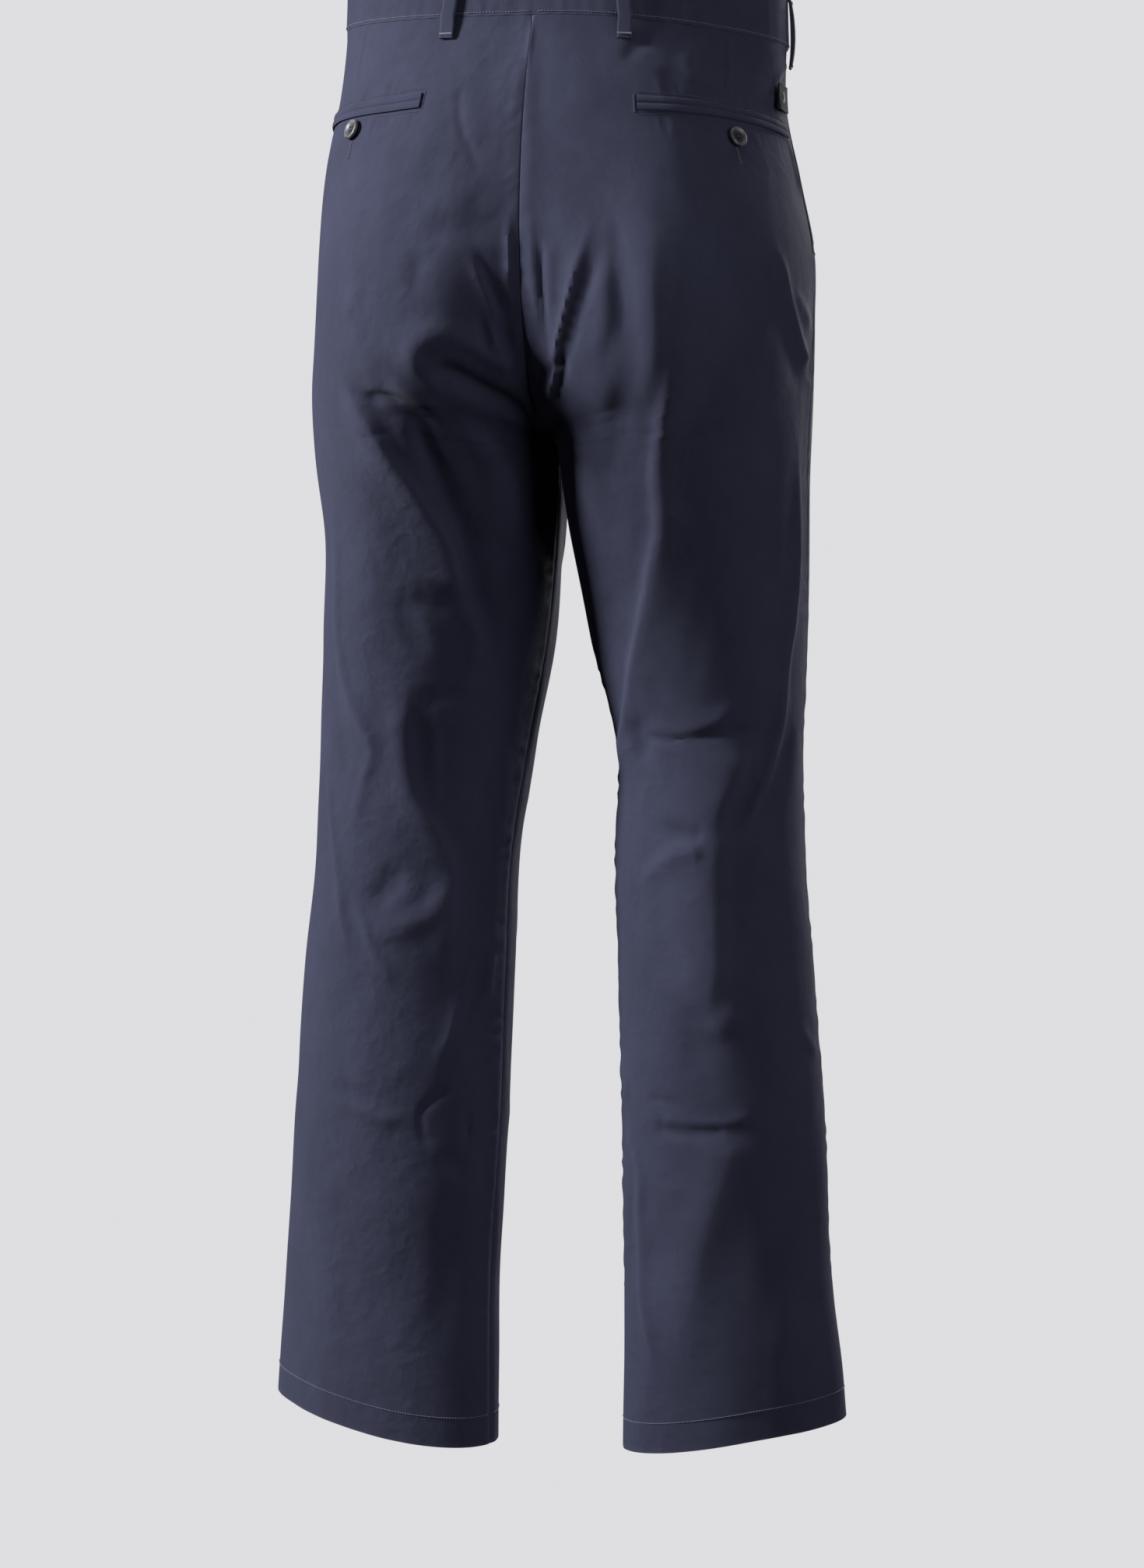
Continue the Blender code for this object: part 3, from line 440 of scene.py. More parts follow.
# Folds of the front, which both halves share with small differences of their own.
FRONT_FOLDS = (
    Fold(((-0.97, 0.235), (-0.86, 0.222), (-0.72, 0.195), (-0.58, 0.175)), 7, 2.6, 0.2, 1.6, (0.1, 0.5)),
    Fold(((-0.96, 0.250), (-0.85, 0.243), (-0.72, 0.222), (-0.60, 0.210)), 7, -3.0, 0.0, 1.8, (0.1, 0.5)),
    Fold(((-0.96, 0.268), (-0.86, 0.268), (-0.74, 0.255), (-0.60, 0.250)), 7, 2.4, 0.0, 1.6, (0.1, 0.5)),
    Fold(((-0.95, 0.290), (-0.86, 0.300), (-0.76, 0.305), (-0.66, 0.315)), 8, -2.4, 0.0, 1.9, (0.1, 0.5)),
    Fold(((-0.93, 0.31), (-0.88, 0.35), (-0.80, 0.39), (-0.70, 0.43)), 9, 2.2, 0.0, 1.7, (0.2, 0.5)),
    Fold(((-0.45, 0.10), (-0.52, 0.15), (-0.60, 0.20), (-0.66, 0.26)), 16, 1.6),
    Fold(((-0.20, 0.52), (-0.38, 0.530), (-0.56, 0.522), (-0.74, 0.500)), 8, 2.0, 0.0, 1.6, (0.3, 0.3)),
    Fold(((-0.22, 0.545), (-0.40, 0.556), (-0.60, 0.548), (-0.80, 0.525)), 8, -2.2, 0.0, 1.9, (0.3, 0.3)),
    Fold(((-0.88, 0.56), (-0.70, 0.590), (-0.50, 0.596), (-0.34, 0.586)), 9, 1.8, 0.0, 1.6, (0.3, 0.4)),
    Fold(((-0.50, 0.36), (-0.47, 0.42), (-0.50, 0.48)), 18, 1.8),
    Fold(((-0.52, 0.62), (-0.49, 0.72), (-0.51, 0.82), (-0.48, 0.92)), 17, 2.4, 0.2, 1.6),
    Fold(((-0.92, 0.80), (-0.76, 0.825), (-0.60, 0.828), (-0.44, 0.815)), 6, 1.4, 0.0, 1.6),
    Fold(((-0.90, 0.825), (-0.74, 0.848), (-0.58, 0.850), (-0.42, 0.836)), 6, -1.6, 0.0, 1.8),
    Fold(((-0.25, 0.70), (-0.36, 0.735), (-0.47, 0.79), (-0.52, 0.84)), 7, -1.6),
    Fold(((-0.85, 0.64), (-0.78, 0.70), (-0.72, 0.76)), 6, 1.5),
    Fold(((-0.20, 0.90), (-0.30, 0.94), (-0.40, 0.99)), 9, 1.3),
)
SEAM_RIPPLES = {
    Side.RIGHT: (
        Ripples(((0.70, 0.046), (0.40, 0.050), (0.08, 0.056)), 8, 5, 0.35, 1.0),
        Ripples(((0.68, 0.069), (0.40, 0.073), (0.08, 0.080)), 9, 6, 0.35, 2.0),
        Ripples(((0.985, 0.03), (0.985, 0.10), (0.985, 0.24)), 11, 6, 0.35, 0.5),
        Ripples(((0.985, 0.33), (0.985, 0.60), (0.985, 1.0)), 17, 9, 0.55, 3.0),
        Ripples(((0.0, 0.10), (0.0, 0.50), (0.0, 1.0)), 19, 8, 0.45, 4.2),
    ),
    Side.LEFT: (
        Ripples(((0.69, 0.045), (0.40, 0.052), (0.14, 0.060)), 8, 5, 0.35, 4.0),
        Ripples(((0.69, 0.067), (0.40, 0.075), (0.14, 0.082)), 7, 6, 0.40, 5.0),
        Ripples(((0.985, 0.03), (0.985, 0.10), (0.985, 0.24)), 10, 6, 0.35, 1.5),
        Ripples(((0.985, 0.33), (0.985, 0.60), (0.985, 1.0)), 16, 9, 0.55, 6.0),
        Ripples(((0.0, 0.10), (0.0, 0.50), (0.0, 1.0)), 18, 8, 0.45, 2.2),
    ),
}


class HalfForm:
    """One half of the garment: its filled-out form, and the creases that lie on it."""

    RISES = {
        -1.0: ((0.036, -0.300), (-0.055, -0.302), (-0.128, -0.150), (-0.110, 0.000)),
        1.0: ((0.036, -0.300), (0.155, -0.302), (0.196, -0.150), (0.114, 0.000)),
    }
    WAIST_OUTER = {Side.LEFT: 0.003, Side.RIGHT: -0.014}
    WAIST_FRONT = -0.016
    HEM_TILT = {Side.LEFT: (-0.001, 0.011, 0.000), Side.RIGHT: (0.000, 0.012, 0.005)}
    WAIST_TILT_DEPTH = 0.25
    HEM_TILT_DEPTH = 0.30
    SQUARENESS = 2.15
    CROTCH_DIP_DEPTH = 0.10
    EASE_REACH = 0.040
    EASE_SPAN = 0.070
    EASE_EDGE = 0.15
    COLUMNS = 97
    ROW_STEP = 0.005
    CURVE_STEPS = 160
    EDGE_FADE = 0.007
    WAIST_FADE = 0.010
    FOLD_DEPTH = 1.40
    DRAPE = ((0.3, 0.083, 0.30), (1.1, 0.061, 0.24), (2.0, 0.047, 0.16), (2.7, 0.033, 0.10))

    def __init__(self, side: Side) -> None:
        """Works out the form of one side, and the girth of its cloth at each level."""
        self.side = side
        self.across = np.linspace(-1.0, 1.0, self.COLUMNS)
        first = -CUT.band_height - 0.002
        count = int(round((CUT.hem_drop - first) / self.ROW_STEP)) + 1
        self.drops = np.linspace(first, CUT.hem_drop, count)
        raw = np.array([self._level(drop) for drop in self.drops])
        self.points = self._eased(raw)
        self.points[..., 0] *= side.value
        self.normals = self._outward()
        self.girths = np.linalg.norm(np.diff(self.points, axis=1), axis=-1).sum(axis=1) / 2.0
        own = LEFT_FOLDS if side is Side.LEFT else RIGHT_FOLDS
        self.folds = (*own, *FRONT_FOLDS, *SEAM_RIPPLES[side])

    def _sizes(self, drop: float) -> np.ndarray:
        """The sizes of a level, from the torso's rows above the crotch and the leg's below."""
        rows = []
        for row in TORSO:
            outer = row.left_x if self.side is Side.LEFT else row.right_x
            crowns = (row.front_x, row.front_y, row.back_x, row.back_y)
            rows.append((row.drop, outer, row.side_y, *crowns, CUT.seam_gap, 0.036, 0.0))
        for leg in LEGS[self.side]:
            middle = (leg.outer_x + leg.inner_x) / 2.0
            crowns = (middle, leg.centre_y - leg.front, middle, leg.centre_y + leg.back)
            rows.append((leg.drop, leg.outer_x, leg.centre_y, *crowns, leg.inner_x, leg.centre_y, leg.turn))
        table = np.array(rows)
        knots = table[:, 0]
        values = table[:, 1:]
        slopes = np.gradient(values, knots, axis=0)
        low = int(np.clip(np.searchsorted(knots, drop) - 1, 0, len(knots) - 2))
        step = knots[low + 1] - knots[low]
        share = np.clip((drop - knots[low]) / step, 0.0, 1.0)
        rise = share * share * (3.0 - 2.0 * share)
        leave = step * share * (1.0 - share) ** 2
        arrive = step * share * share * (share - 1.0)
        ends = (1.0 - rise) * values[low] + rise * values[low + 1]
        return ends + leave * slopes[low] + arrive * slopes[low + 1]

    def _seam_end(self, sign: float, drop: float, crown_y: float, inseam: np.ndarray) -> np.ndarray:
        """The point where a level meets the centre seam, or the inseam below the crotch."""
        rise = self.RISES[sign]
        if drop <= 0.0:
            return np.array([CUT.seam_gap, crown_y, -drop])
        if drop >= CUT.crotch_drop:
            dip = rise[0][1] + CUT.crotch_drop
            dip *= 1.0 - smooth((drop - CUT.crotch_drop) / self.CROTCH_DIP_DEPTH)
            return np.array([inseam[0], inseam[1], dip - drop])
        t = np.linspace(0.0, 1.0, self.CURVE_STEPS)[:, None]
        crotch, under, bulge, waist = (np.asarray(point) for point in rise)
        line = (1 - t) ** 3 * crotch + 3 * (1 - t) ** 2 * t * under + 3 * (1 - t) * t**2 * bulge
        y, z = read_line(line + t**3 * waist, np.array([1.0 - drop / CUT.crotch_drop]))[0]
        return np.array([CUT.seam_gap, y, z])

    def _level(self, drop: float) -> np.ndarray:
        """Points of the half at one level, at each value of across."""
        outer_x, outer_y, front_x, front_y, back_x, back_y, inner_x, inner_y, turn = self._sizes(drop)
        points = np.zeros((len(self.across), 3))
        angle = np.linspace(0.0, math.pi / 2.0, self.CURVE_STEPS)
        for sign, crown in ((-1.0, (front_x, front_y)), (1.0, (back_x, back_y))):
            end = self._seam_end(sign, drop, crown[1], np.array([inner_x, inner_y]))
            square = 2.0 / self.SQUARENESS
            x = crown[0] + (outer_x - crown[0]) * np.sin(angle) ** square
            y = outer_y + (crown[1] - outer_y) * np.cos(angle) ** square
            round_the_side = np.stack([x, y], axis=-1)[::-1]
            roundness = np.clip((crown[1] - end[1]) / (crown[1] - inner_y), 0.0, 1.0)
            wave = (1.0 - np.cos(math.pi * np.sin(angle))) / 2.0
            inward = (1.0 - roundness) * wave + roundness * (1.0 - np.cos(angle))
            x = crown[0] + (end[0] - crown[0]) * np.sin(angle)
            y = crown[1] + (end[1] - crown[1]) * inward
            line = np.concatenate([round_the_side, np.stack([x, y], axis=-1)[1:]])
            mine = self.across * sign >= 0.0
            shares = np.abs(self.across[mine])
            points[mine, :2] = read_line(line, shares)
            points[mine, 2] = -drop + (end[2] + drop) * smooth(shares) ** 1.5
        middle = np.array([(outer_x + inner_x) / 2.0, outer_y])
        bend = math.radians(turn)
        spin = np.array([[math.cos(bend), -math.sin(bend)], [math.sin(bend), math.cos(bend)]])
        points[:, :2] = (points[:, :2] - middle) @ spin + middle
        points[:, 2] += self._tilt(drop)
        return points

    def _tilt(self, drop: float) -> np.ndarray:
        """How far the slopes of the waist and the hem raise each point of a level."""
        near_waist = 1.0 - smooth(drop / self.WAIST_TILT_DEPTH)
        near_hem = smooth((drop - CUT.hem_drop + self.HEM_TILT_DEPTH) / self.HEM_TILT_DEPTH)
        quarter = self.across * math.pi / 2.0
        waist = np.where(self.across < 0.0, np.sin(quarter) ** 2 * self.WAIST_FRONT, 0.0)
        waist = waist + self.WAIST_OUTER[self.side] * np.cos(quarter) ** 2
        level, outer, back = self.HEM_TILT[self.side]
        hem = level + outer * np.cos(2.0 * quarter) + back * np.sin(2.0 * quarter)
        return near_waist * waist + near_hem * hem

    def _eased(self, raw: np.ndarray) -> np.ndarray:
        """Rounds the fold where the seat turns under into the leg."""
        centre = np.exp(-(((self.drops - CUT.crotch_drop) / self.EASE_SPAN) ** 2))
        edge = np.clip((1.0 - np.abs(self.across)) / self.EASE_EDGE, 0.0, 1.0)
        reach = self.EASE_REACH * centre[:, None] * edge[None, :]
        total = np.zeros_like(raw)
        steps = ((-1.0, 1.0), (-0.5, 2.0), (0.0, 3.0), (0.5, 2.0), (1.0, 1.0))
        for shift, weight in steps:
            for column in range(len(self.across)):
                at = self.drops + shift * reach[:, column]
                for axis in range(3):
                    total[:, column, axis] += weight * np.interp(at, self.drops, raw[:, column, axis])
        return total / sum(weight for _, weight in steps)

    def _outward(self) -> np.ndarray:
        """Unit normals that point out of the garment and agree where front and back meet."""
        normals = np.cross(np.gradient(self.points, axis=0), np.gradient(self.points, axis=1))
        normals *= self.side.value
        normals /= np.linalg.norm(normals, axis=-1, keepdims=True)
        leg = self.drops >= CUT.crotch_drop
        joined = normals[leg, 0] + normals[leg, -1]
        normals[leg, 0] = joined
        normals[leg, -1] = joined
        normals[~leg, 0, 0] = 0.0
        normals[~leg, -1, 0] = 0.0
        return normals / np.linalg.norm(normals, axis=-1, keepdims=True)

    def girth(self, drop: np.ndarray) -> np.ndarray:
        """The metres that one unit of across takes up at a drop."""
        return np.interp(drop, self.drops, self.girths)

    @staticmethod
    def _weights(share: np.ndarray) -> list[np.ndarray]:
        """The four weights of a smooth curve's points for a place between its middle two."""
        two = share * share
        three = two * share
        return [
            (-three + 2.0 * two - share) / 2.0,
            (3.0 * three - 5.0 * two + 2.0) / 2.0,
            (-3.0 * three + 4.0 * two + share) / 2.0,
            (three - two) / 2.0,
        ]

    def base(self, across: np.ndarray, drop: np.ndarray) -> tuple[np.ndarray, np.ndarray]:
        """The plain form.

        Args:
            across: The places round the half.
            drop: The places down it, of the same shape.

        Returns:
            The points and their outward unit normals.
        """
        across = np.asarray(across, float)
        drop = np.asarray(drop, float)
        column = np.interp(across, self.across, np.arange(len(self.across)))
        row = np.interp(drop, self.drops, np.arange(len(self.drops)))
        left = np.clip(column.astype(int), 0, len(self.across) - 2)
        top = np.clip(row.astype(int), 0, len(self.drops) - 2)
        point = np.zeros((*across.shape, 3))
        normal = np.zeros_like(point)
        side_weights = self._weights(column - left)
        for down, down_weight in enumerate(self._weights(row - top)):
            rows = np.clip(top + down - 1, 0, len(self.drops) - 1)
            for along, along_weight in enumerate(side_weights):
                columns = np.clip(left + along - 1, 0, len(self.across) - 1)
                weight = (down_weight * along_weight)[..., None]
                point += weight * self.points[rows, columns]
                normal += weight * self.normals[rows, columns]
        return point, normal / np.linalg.norm(normal, axis=-1, keepdims=True)

    def relief(self, across: np.ndarray, drop: np.ndarray) -> np.ndarray:
        """How far the creases, the seams' puckers and the drape move the cloth out."""
        across = np.asarray(across, float)
        drop = np.asarray(drop, float)
        girth = self.girth(drop)
        x = across * girth
        total = np.zeros(x.shape)
        for fold in self.folds:
            total += self.FOLD_DEPTH * fold.relief(x, drop, self.girth)
        phase = 1.7 * self.side.value
        for turn, wave, height in self.DRAPE:
            path = (x * math.cos(turn) + 0.45 * drop * math.sin(turn)) / wave * 2.0 * math.pi
            total += height * MM * np.sin(path + phase + 1.4 * np.sin(0.41 * path + turn))
        to_seam = (1.0 - np.abs(across)) * girth
        total *= smooth(to_seam / self.EDGE_FADE) * smooth(drop / self.WAIST_FADE)
        to_outseam = np.abs(across) * girth
        for distance in (to_seam, to_outseam):
            total -= 0.9 * MM * np.exp(-distance / (1.5 * MM))
            total += 0.35 * MM * np.exp(-(((distance - 6.0 * MM) / (3.2 * MM)) ** 2))
        return total

    def skin(self, across: np.ndarray, drop: np.ndarray, out: Number = 0.0) -> np.ndarray:
        """Points of the creased cloth, moved out by a distance."""
        point, normal = self.base(across, drop)
        return point + normal * (self.relief(across, drop) + out)[..., None]

    def frame(self, across: float, drop: float) -> tuple[np.ndarray, np.ndarray, np.ndarray, np.ndarray]:
        """A place's point, and unit vectors round the body, down the cloth and out of it."""
        step = 0.002
        places = np.array([across] * 3), np.array([drop - step, drop, drop + step])
        points, normals = self.base(*places)
        out = normals[1]
        down = points[2] - points[0]
        down -= out * (down @ out)
        down /= np.linalg.norm(down)
        lifted = points[1] + out * float(self.relief(*places)[1])
        return lifted, np.cross(out, down), down, out


# ---------------------------------------------------------------------------------------------
# Finishes
# ---------------------------------------------------------------------------------------------


@dataclass(frozen=True)
class Value:
    """A number that varies over a surface. Its operators add Math nodes."""

    paint: "Paint"
    socket: bpy.types.NodeSocket

    def __add__(self, other: Number) -> "Value":
        """The sum."""
        return self.paint.maths("ADD", self, other)

    def __sub__(self, other: Number) -> "Value":
        """The difference."""
        return self.paint.maths("SUBTRACT", self, other)

    def __rsub__(self, other: Number) -> "Value":
        """The difference from a number."""
        return self.paint.maths("SUBTRACT", other, self)

    def __mul__(self, other: Number) -> "Value":
        """The product."""
        return self.paint.maths("MULTIPLY", self, other)

    __radd__ = __add__
    __rmul__ = __mul__

    def __pow__(self, other: Number) -> "Value":
        """The power."""
        return self.paint.maths("POWER", self, other)

    def wave(self) -> "Value":
        """A sine of it, from 0 to 1."""
        return self.paint.maths("SINE", self) * 0.5 + 0.5

    def within(self, low: float, high: float) -> "Value":
        """0 at low and below, 1 at high and above, and smooth between."""
        settings = {"interpolation_type": "SMOOTHSTEP"}
        inputs = {"Value": self, "From Min": low, "From Max": high}
        return Value(self.paint, self.paint.node("ShaderNodeMapRange", settings, inputs).outputs["Result"])


class Paint:
    """One material's nodes: a Principled shader whose constants are set, and what feeds it."""

    def __init__(self, name: str, constants: dict[str, object]) -> None:
        """Starts a material.

        Args:
            name: The material's name.
            constants: Values of the shader's sockets that are the same all over.
        """
        self.material = bpy.data.materials.new(name)
        self.material.use_nodes = True
        self.tree = self.material.node_tree
        self.shader = self.tree.nodes["Principled BSDF"]
        for socket, value in constants.items():
            self.shader.inputs[socket].default_value = value

    def node(self, kind: str, settings: dict[str, object], inputs: dict[object, object]) -> bpy.types.Node:
        """Adds a node.

        Args:
            kind: The node's type.
            settings: Its own properties.
            inputs: Values or links, by the socket's name or number.

        Returns:
            The new node.
        """
        made = self.tree.nodes.new(kind)
        for name, value in settings.items():
            setattr(made, name, value)
        for key, value in inputs.items():
            self.feed(made.inputs[key], value)
        return made

    def feed(self, socket: bpy.types.NodeSocket, value: object) -> None:
        """Links a value or an output to a socket, or sets the socket to a plain value."""
        if isinstance(value, Value):
            value = value.socket
        if isinstance(value, bpy.types.NodeSocket):
            self.tree.links.new(value, socket)
        else:
            socket.default_value = value

    def maths(self, operation: str, *values: Number) -> Value:
        """Adds a Math node."""
        made = self.node("ShaderNodeMath", {"operation": operation}, dict(enumerate(values)))
        return Value(self, made.outputs[0])

    def cloth_place(self) -> tuple[Value, Value]:
        """The distances across and down the cloth, in millimetres."""
        place = self.node("ShaderNodeUVMap", {"uv_map": "cloth"}, {}).outputs[0]
        parts = self.node("ShaderNodeSeparateXYZ", {}, {0: place}).outputs
        return Value(self, parts["X"]) * 1000.0, Value(self, parts["Y"]) * 1000.0

    def solid_place(self) -> bpy.types.NodeSocket:
        """The place in the object's own metres."""
        return self.node("ShaderNodeTexCoord", {}, {}).outputs["Object"]

    def noise(self, place: bpy.types.NodeSocket, scale: float, detail: float = 3.0) -> Value:
        """A soft noise between 0 and 1."""
        inputs = {"Vector": place, "Scale": scale, "Detail": detail}
        return Value(self, self.node("ShaderNodeTexNoise", {}, inputs).outputs["Fac"])

    def specks(self, place: bpy.types.NodeSocket, scale: float) -> Value:
        """The distance to the nearest of many scattered points, in cells."""
        made = self.node("ShaderNodeTexVoronoi", {}, {"Vector": place, "Scale": scale})
        return Value(self, made.outputs["Distance"])

    def marked(self, name: str) -> Value:
        """A mark that a mesh carries on its points."""
        return Value(self, self.node("ShaderNodeAttribute", {"attribute_name": name}, {}).outputs["Fac"])

    def blend(self, share: Number, first: object, second: object) -> bpy.types.NodeSocket:
        """A colour between two."""
        made = self.node("ShaderNodeMix", {"data_type": "RGBA"}, {"Factor": share, 6: first, 7: second})
        return made.outputs[2]

    def finish(self, colour: object, roughness: Number, height: Value, depth: float) -> bpy.types.Material:
        """Feeds the shader.

        Args:
            colour: The base colour.
            roughness: The roughness.
            height: The surface's fine relief, from 0 to 1.
            depth: How deep that relief is, in metres.

        Returns:
            The finished material.
        """
        self.feed(self.shader.inputs["Base Color"], colour)
        self.feed(self.shader.inputs["Roughness"], roughness)
        bump = self.node("ShaderNodeBump", {}, {"Height": height, "Distance": depth, "Strength": 1.0})
        self.feed(self.shader.inputs["Normal"], bump.outputs[0])
        return self.material


@dataclass(frozen=True)
class Twill:
    """Piece-dyed cotton twill: fine diagonal ribs, slubs, edges pale with wear, painted highlight on crease
    ridges and a little lint.
    """

    name: str = "navy_twill"
    ground: tuple[float, float, float] = (0.0405, 0.0440, 0.0850)
    pale_wear_and_highlight: tuple[float, float, float] = (0.0800, 0.0840, 0.1500)
    rib_pitch: float = 0.62
    yarn_pitch: float = 0.41
    sheen: float = 0.10

    def make(self) -> bpy.types.Material:
        """The material."""
        constants = {"Sheen Weight": self.sheen, "Sheen Roughness": 0.45, "Specular IOR Level": 0.25}
        constants["Sheen Tint"] = (0.62, 0.66, 0.90, 1.0)
        paint = Paint(self.name, constants)
        across, down = paint.cloth_place()
        solid = paint.solid_place()
        slub = paint.noise(solid, 420.0, 2.0)
        turn = 2.0 * math.pi
        rib = ((across + down * 0.9) * (turn / (self.rib_pitch * 1.35)) + slub * 2.2).wave()
        yarn = (down * (turn / self.yarn_pitch) + across * 2.0).wave()
        patch = paint.noise(solid, 14.0, 4.0)
        cloud = paint.noise(solid, 55.0, 3.0)
        lint = 1.0 - paint.specks(solid, 95.0).within(0.02, 0.05)
        keep_lint = paint.noise(solid, 31.0, 1.0).within(0.66, 0.74)
        rubbed_and_ridge_highlight = paint.marked("rubbed_and_ridge_highlight")
        dark = tuple(0.80 * part for part in self.ground) + (1.0,)
        tone = paint.blend(patch.within(0.25, 0.75), dark, (*self.ground, 1.0))
        # The edge mark pulls the colour towards the pale one: real wear at seams and hems, and painted
        # highlight on crease ridges.
        share = rib * 0.10 + yarn * 0.04 + cloud * 0.20 + rubbed_and_ridge_highlight * 0.60 + lint * keep_lint * 0.5
        colour = paint.blend(share, tone, (*self.pale_wear_and_highlight, 1.0))
        crumple = paint.noise(solid, 75.0, 3.0)
        ridged = 1.0 - paint.maths("ABSOLUTE", paint.noise(solid, 24.0, 3.0) - 0.5) * 2.0
        height = rib * 0.30 + yarn * 0.12 + slub * 0.10 + crumple * 2.0 + ridged * 3.4
        return paint.finish(colour, 0.90 - rubbed_and_ridge_highlight * 0.08 - cloud * 0.06, height, 0.00045)


@dataclass(frozen=True)
class Thread:
    """Sewing thread with a light twist."""

    name: str
    colour: tuple[float, float, float]

    def make(self) -> bpy.types.Material:
        """The material."""
        paint = Paint(self.name, {"Sheen Weight": 0.15, "Specular IOR Level": 0.35})
        solid = paint.solid_place()
        fleck = paint.noise(solid, 900.0, 2.0)
        age = paint.noise(solid, 40.0, 2.0)
        dark = tuple(0.62 * part for part in self.colour) + (1.0,)
        colour = paint.blend(fleck * 0.5 + age * 0.5, dark, (*self.colour, 1.0))
        return paint.finish(colour, 0.70 - fleck * 0.12, fleck, 0.00010)


@dataclass(frozen=True)
class Horn:
    """Clouded grey resin that looks like horn, with painted shade darkening its dished middle inside a paler
    rim.
    """

    name: str = "grey_horn"
    pale: tuple[float, float, float] = (0.210, 0.210, 0.220)
    deep: tuple[float, float, float] = (0.030, 0.030, 0.036)

    def make(self) -> bpy.types.Material:
        """The material."""
        paint = Paint(self.name, {"Specular IOR Level": 0.55, "Coat Roughness": 0.15})
        solid = paint.solid_place()
        cloud = paint.noise(solid, 260.0, 5.0)
        grain = paint.noise(solid, 1900.0, 2.0)
        parts = paint.node("ShaderNodeSeparateXYZ", {}, {0: solid}).outputs
        x, y = Value(paint, parts["X"]), Value(paint, parts["Y"])
        # Painted shade: the dished middle, within 3.8 mm of the centre, is pulled to the deep colour; from
        # 5.6 mm out the clouding shows in full.
        outside_dish_shade = ((x * x + y * y) ** 0.5 * 1000.0).within(3.8, 5.6)
        share = (cloud.within(0.30, 0.70) * 0.7 + grain * 0.3) * (outside_dish_shade * 0.85 + 0.15)
        colour = paint.blend(share, (*self.deep, 1.0), (*self.pale, 1.0))
        paint.shader.inputs["Coat Weight"].default_value = 0.10
        return paint.finish(colour, 0.30 + grain * 0.15, grain + cloud, 0.00005)


@dataclass(frozen=True)
class Satin:
    """The flag label's woven satin, with fine cross ribs."""

    name: str = "woven_label"
    ground: tuple[float, float, float] = (0.012, 0.013, 0.020)
    light: tuple[float, float, float] = (0.045, 0.047, 0.060)

    def make(self) -> bpy.types.Material:
        """The material."""
        paint = Paint(self.name, {"Sheen Weight": 0.03, "Specular IOR Level": 0.08})
        across, down = paint.cloth_place()
        pick = (down * (2.0 * math.pi / 0.32)).wave()
        end = (across * (2.0 * math.pi / 0.45)).wave()
        soil = paint.noise(paint.solid_place(), 160.0, 3.0)
        colour = paint.blend(pick * 0.35 + soil * 0.3, (*self.ground, 1.0), (*self.light, 1.0))
        return paint.finish(colour, 0.80 + soil * 0.12, pick * 0.7 + end * 0.3, 0.00012)


@dataclass
class Wardrobe:
    """All the finishes, made once."""

    twill: bpy.types.Material = field(default_factory=lambda: Twill().make())
    # The facing's ground is darker than the main twill's: painted shade for its place behind the pocket
    # mouth.
    facing: bpy.types.Material = field(
        default_factory=lambda: Twill("pocket_facing", (0.0370, 0.0395, 0.0760)).make()
    )
    dark_thread: bpy.types.Material = field(
        default_factory=lambda: Thread("navy_thread", (0.085, 0.090, 0.150)).make()
    )
    pale_thread: bpy.types.Material = field(
        default_factory=lambda: Thread("pale_thread", (0.230, 0.245, 0.330)).make()
    )
    silver_thread: bpy.types.Material = field(
        default_factory=lambda: Thread("silver_thread", (0.62, 0.63, 0.66)).make()
    )
    horn: bpy.types.Material = field(default_factory=lambda: Horn().make())
    satin: bpy.types.Material = field(default_factory=lambda: Satin().make())


# ---------------------------------------------------------------------------------------------
# Making pieces
# ---------------------------------------------------------------------------------------------


@dataclass
class Solid:
    """A mesh in the making: its points and faces."""

    points: list[np.ndarray] = field(default_factory=list)
    faces: list[np.ndarray] = field(default_factory=list)
    count: int = 0

    SHARP_DEGREES = 50.0

    def add(self, points: np.ndarray, faces: Sequence[np.ndarray]) -> None:
        """Adds points, and faces that count from the first of them."""
        points = points.reshape(-1, 3)
        self.points.append(points)
        self.faces.extend(group + self.count for group in faces)
        self.count += len(points)

    def make(self, name: str, material: bpy.types.Material) -> bpy.types.Object:
        """Links the mesh into the scene.

        Args:
            name: The piece's name.
            material: Its finish.

        Returns:
            The new object.
        """
        mesh = bpy.data.meshes.new(name)
        points = np.concatenate(self.points)
        loops = np.concatenate([group.ravel() for group in self.faces])
        sizes = np.concatenate([np.full(len(group), group.shape[1]) for group in self.faces])
        mesh.vertices.add(len(points))
        mesh.vertices.foreach_set("co", points.astype(np.float32).ravel())
        mesh.loops.add(len(loops))
        mesh.loops.foreach_set("vertex_index", loops.astype(np.int32))
        mesh.polygons.add(len(sizes))
        starts = np.concatenate([[0], np.cumsum(sizes)[:-1]])
        mesh.polygons.foreach_set("loop_start", starts.astype(np.int32))
        mesh.update(calc_edges=True)
        mesh.validate()
        mesh.shade_smooth()
        mesh.set_sharp_from_angle(angle=math.radians(self.SHARP_DEGREES))
        mesh.materials.append(material)
        piece = bpy.data.objects.new(name, mesh)
        bpy.context.scene.collection.objects.link(piece)
        return piece


def lattice_faces(rows: int, columns: int, start: int = 0, ring: bool = False) -> np.ndarray:
    """The quads of a grid of points, joined round if it is a ring."""
    spans = columns if ring else columns - 1
    row, column = np.meshgrid(np.arange(rows - 1), np.arange(spans), indexing="ij")
    after = (column + 1) % columns
    quads = [row * columns + column, row * columns + after]
    quads += [(row + 1) * columns + after, (row + 1) * columns + column]
    return np.stack(quads, axis=-1).reshape(-1, 4) + start


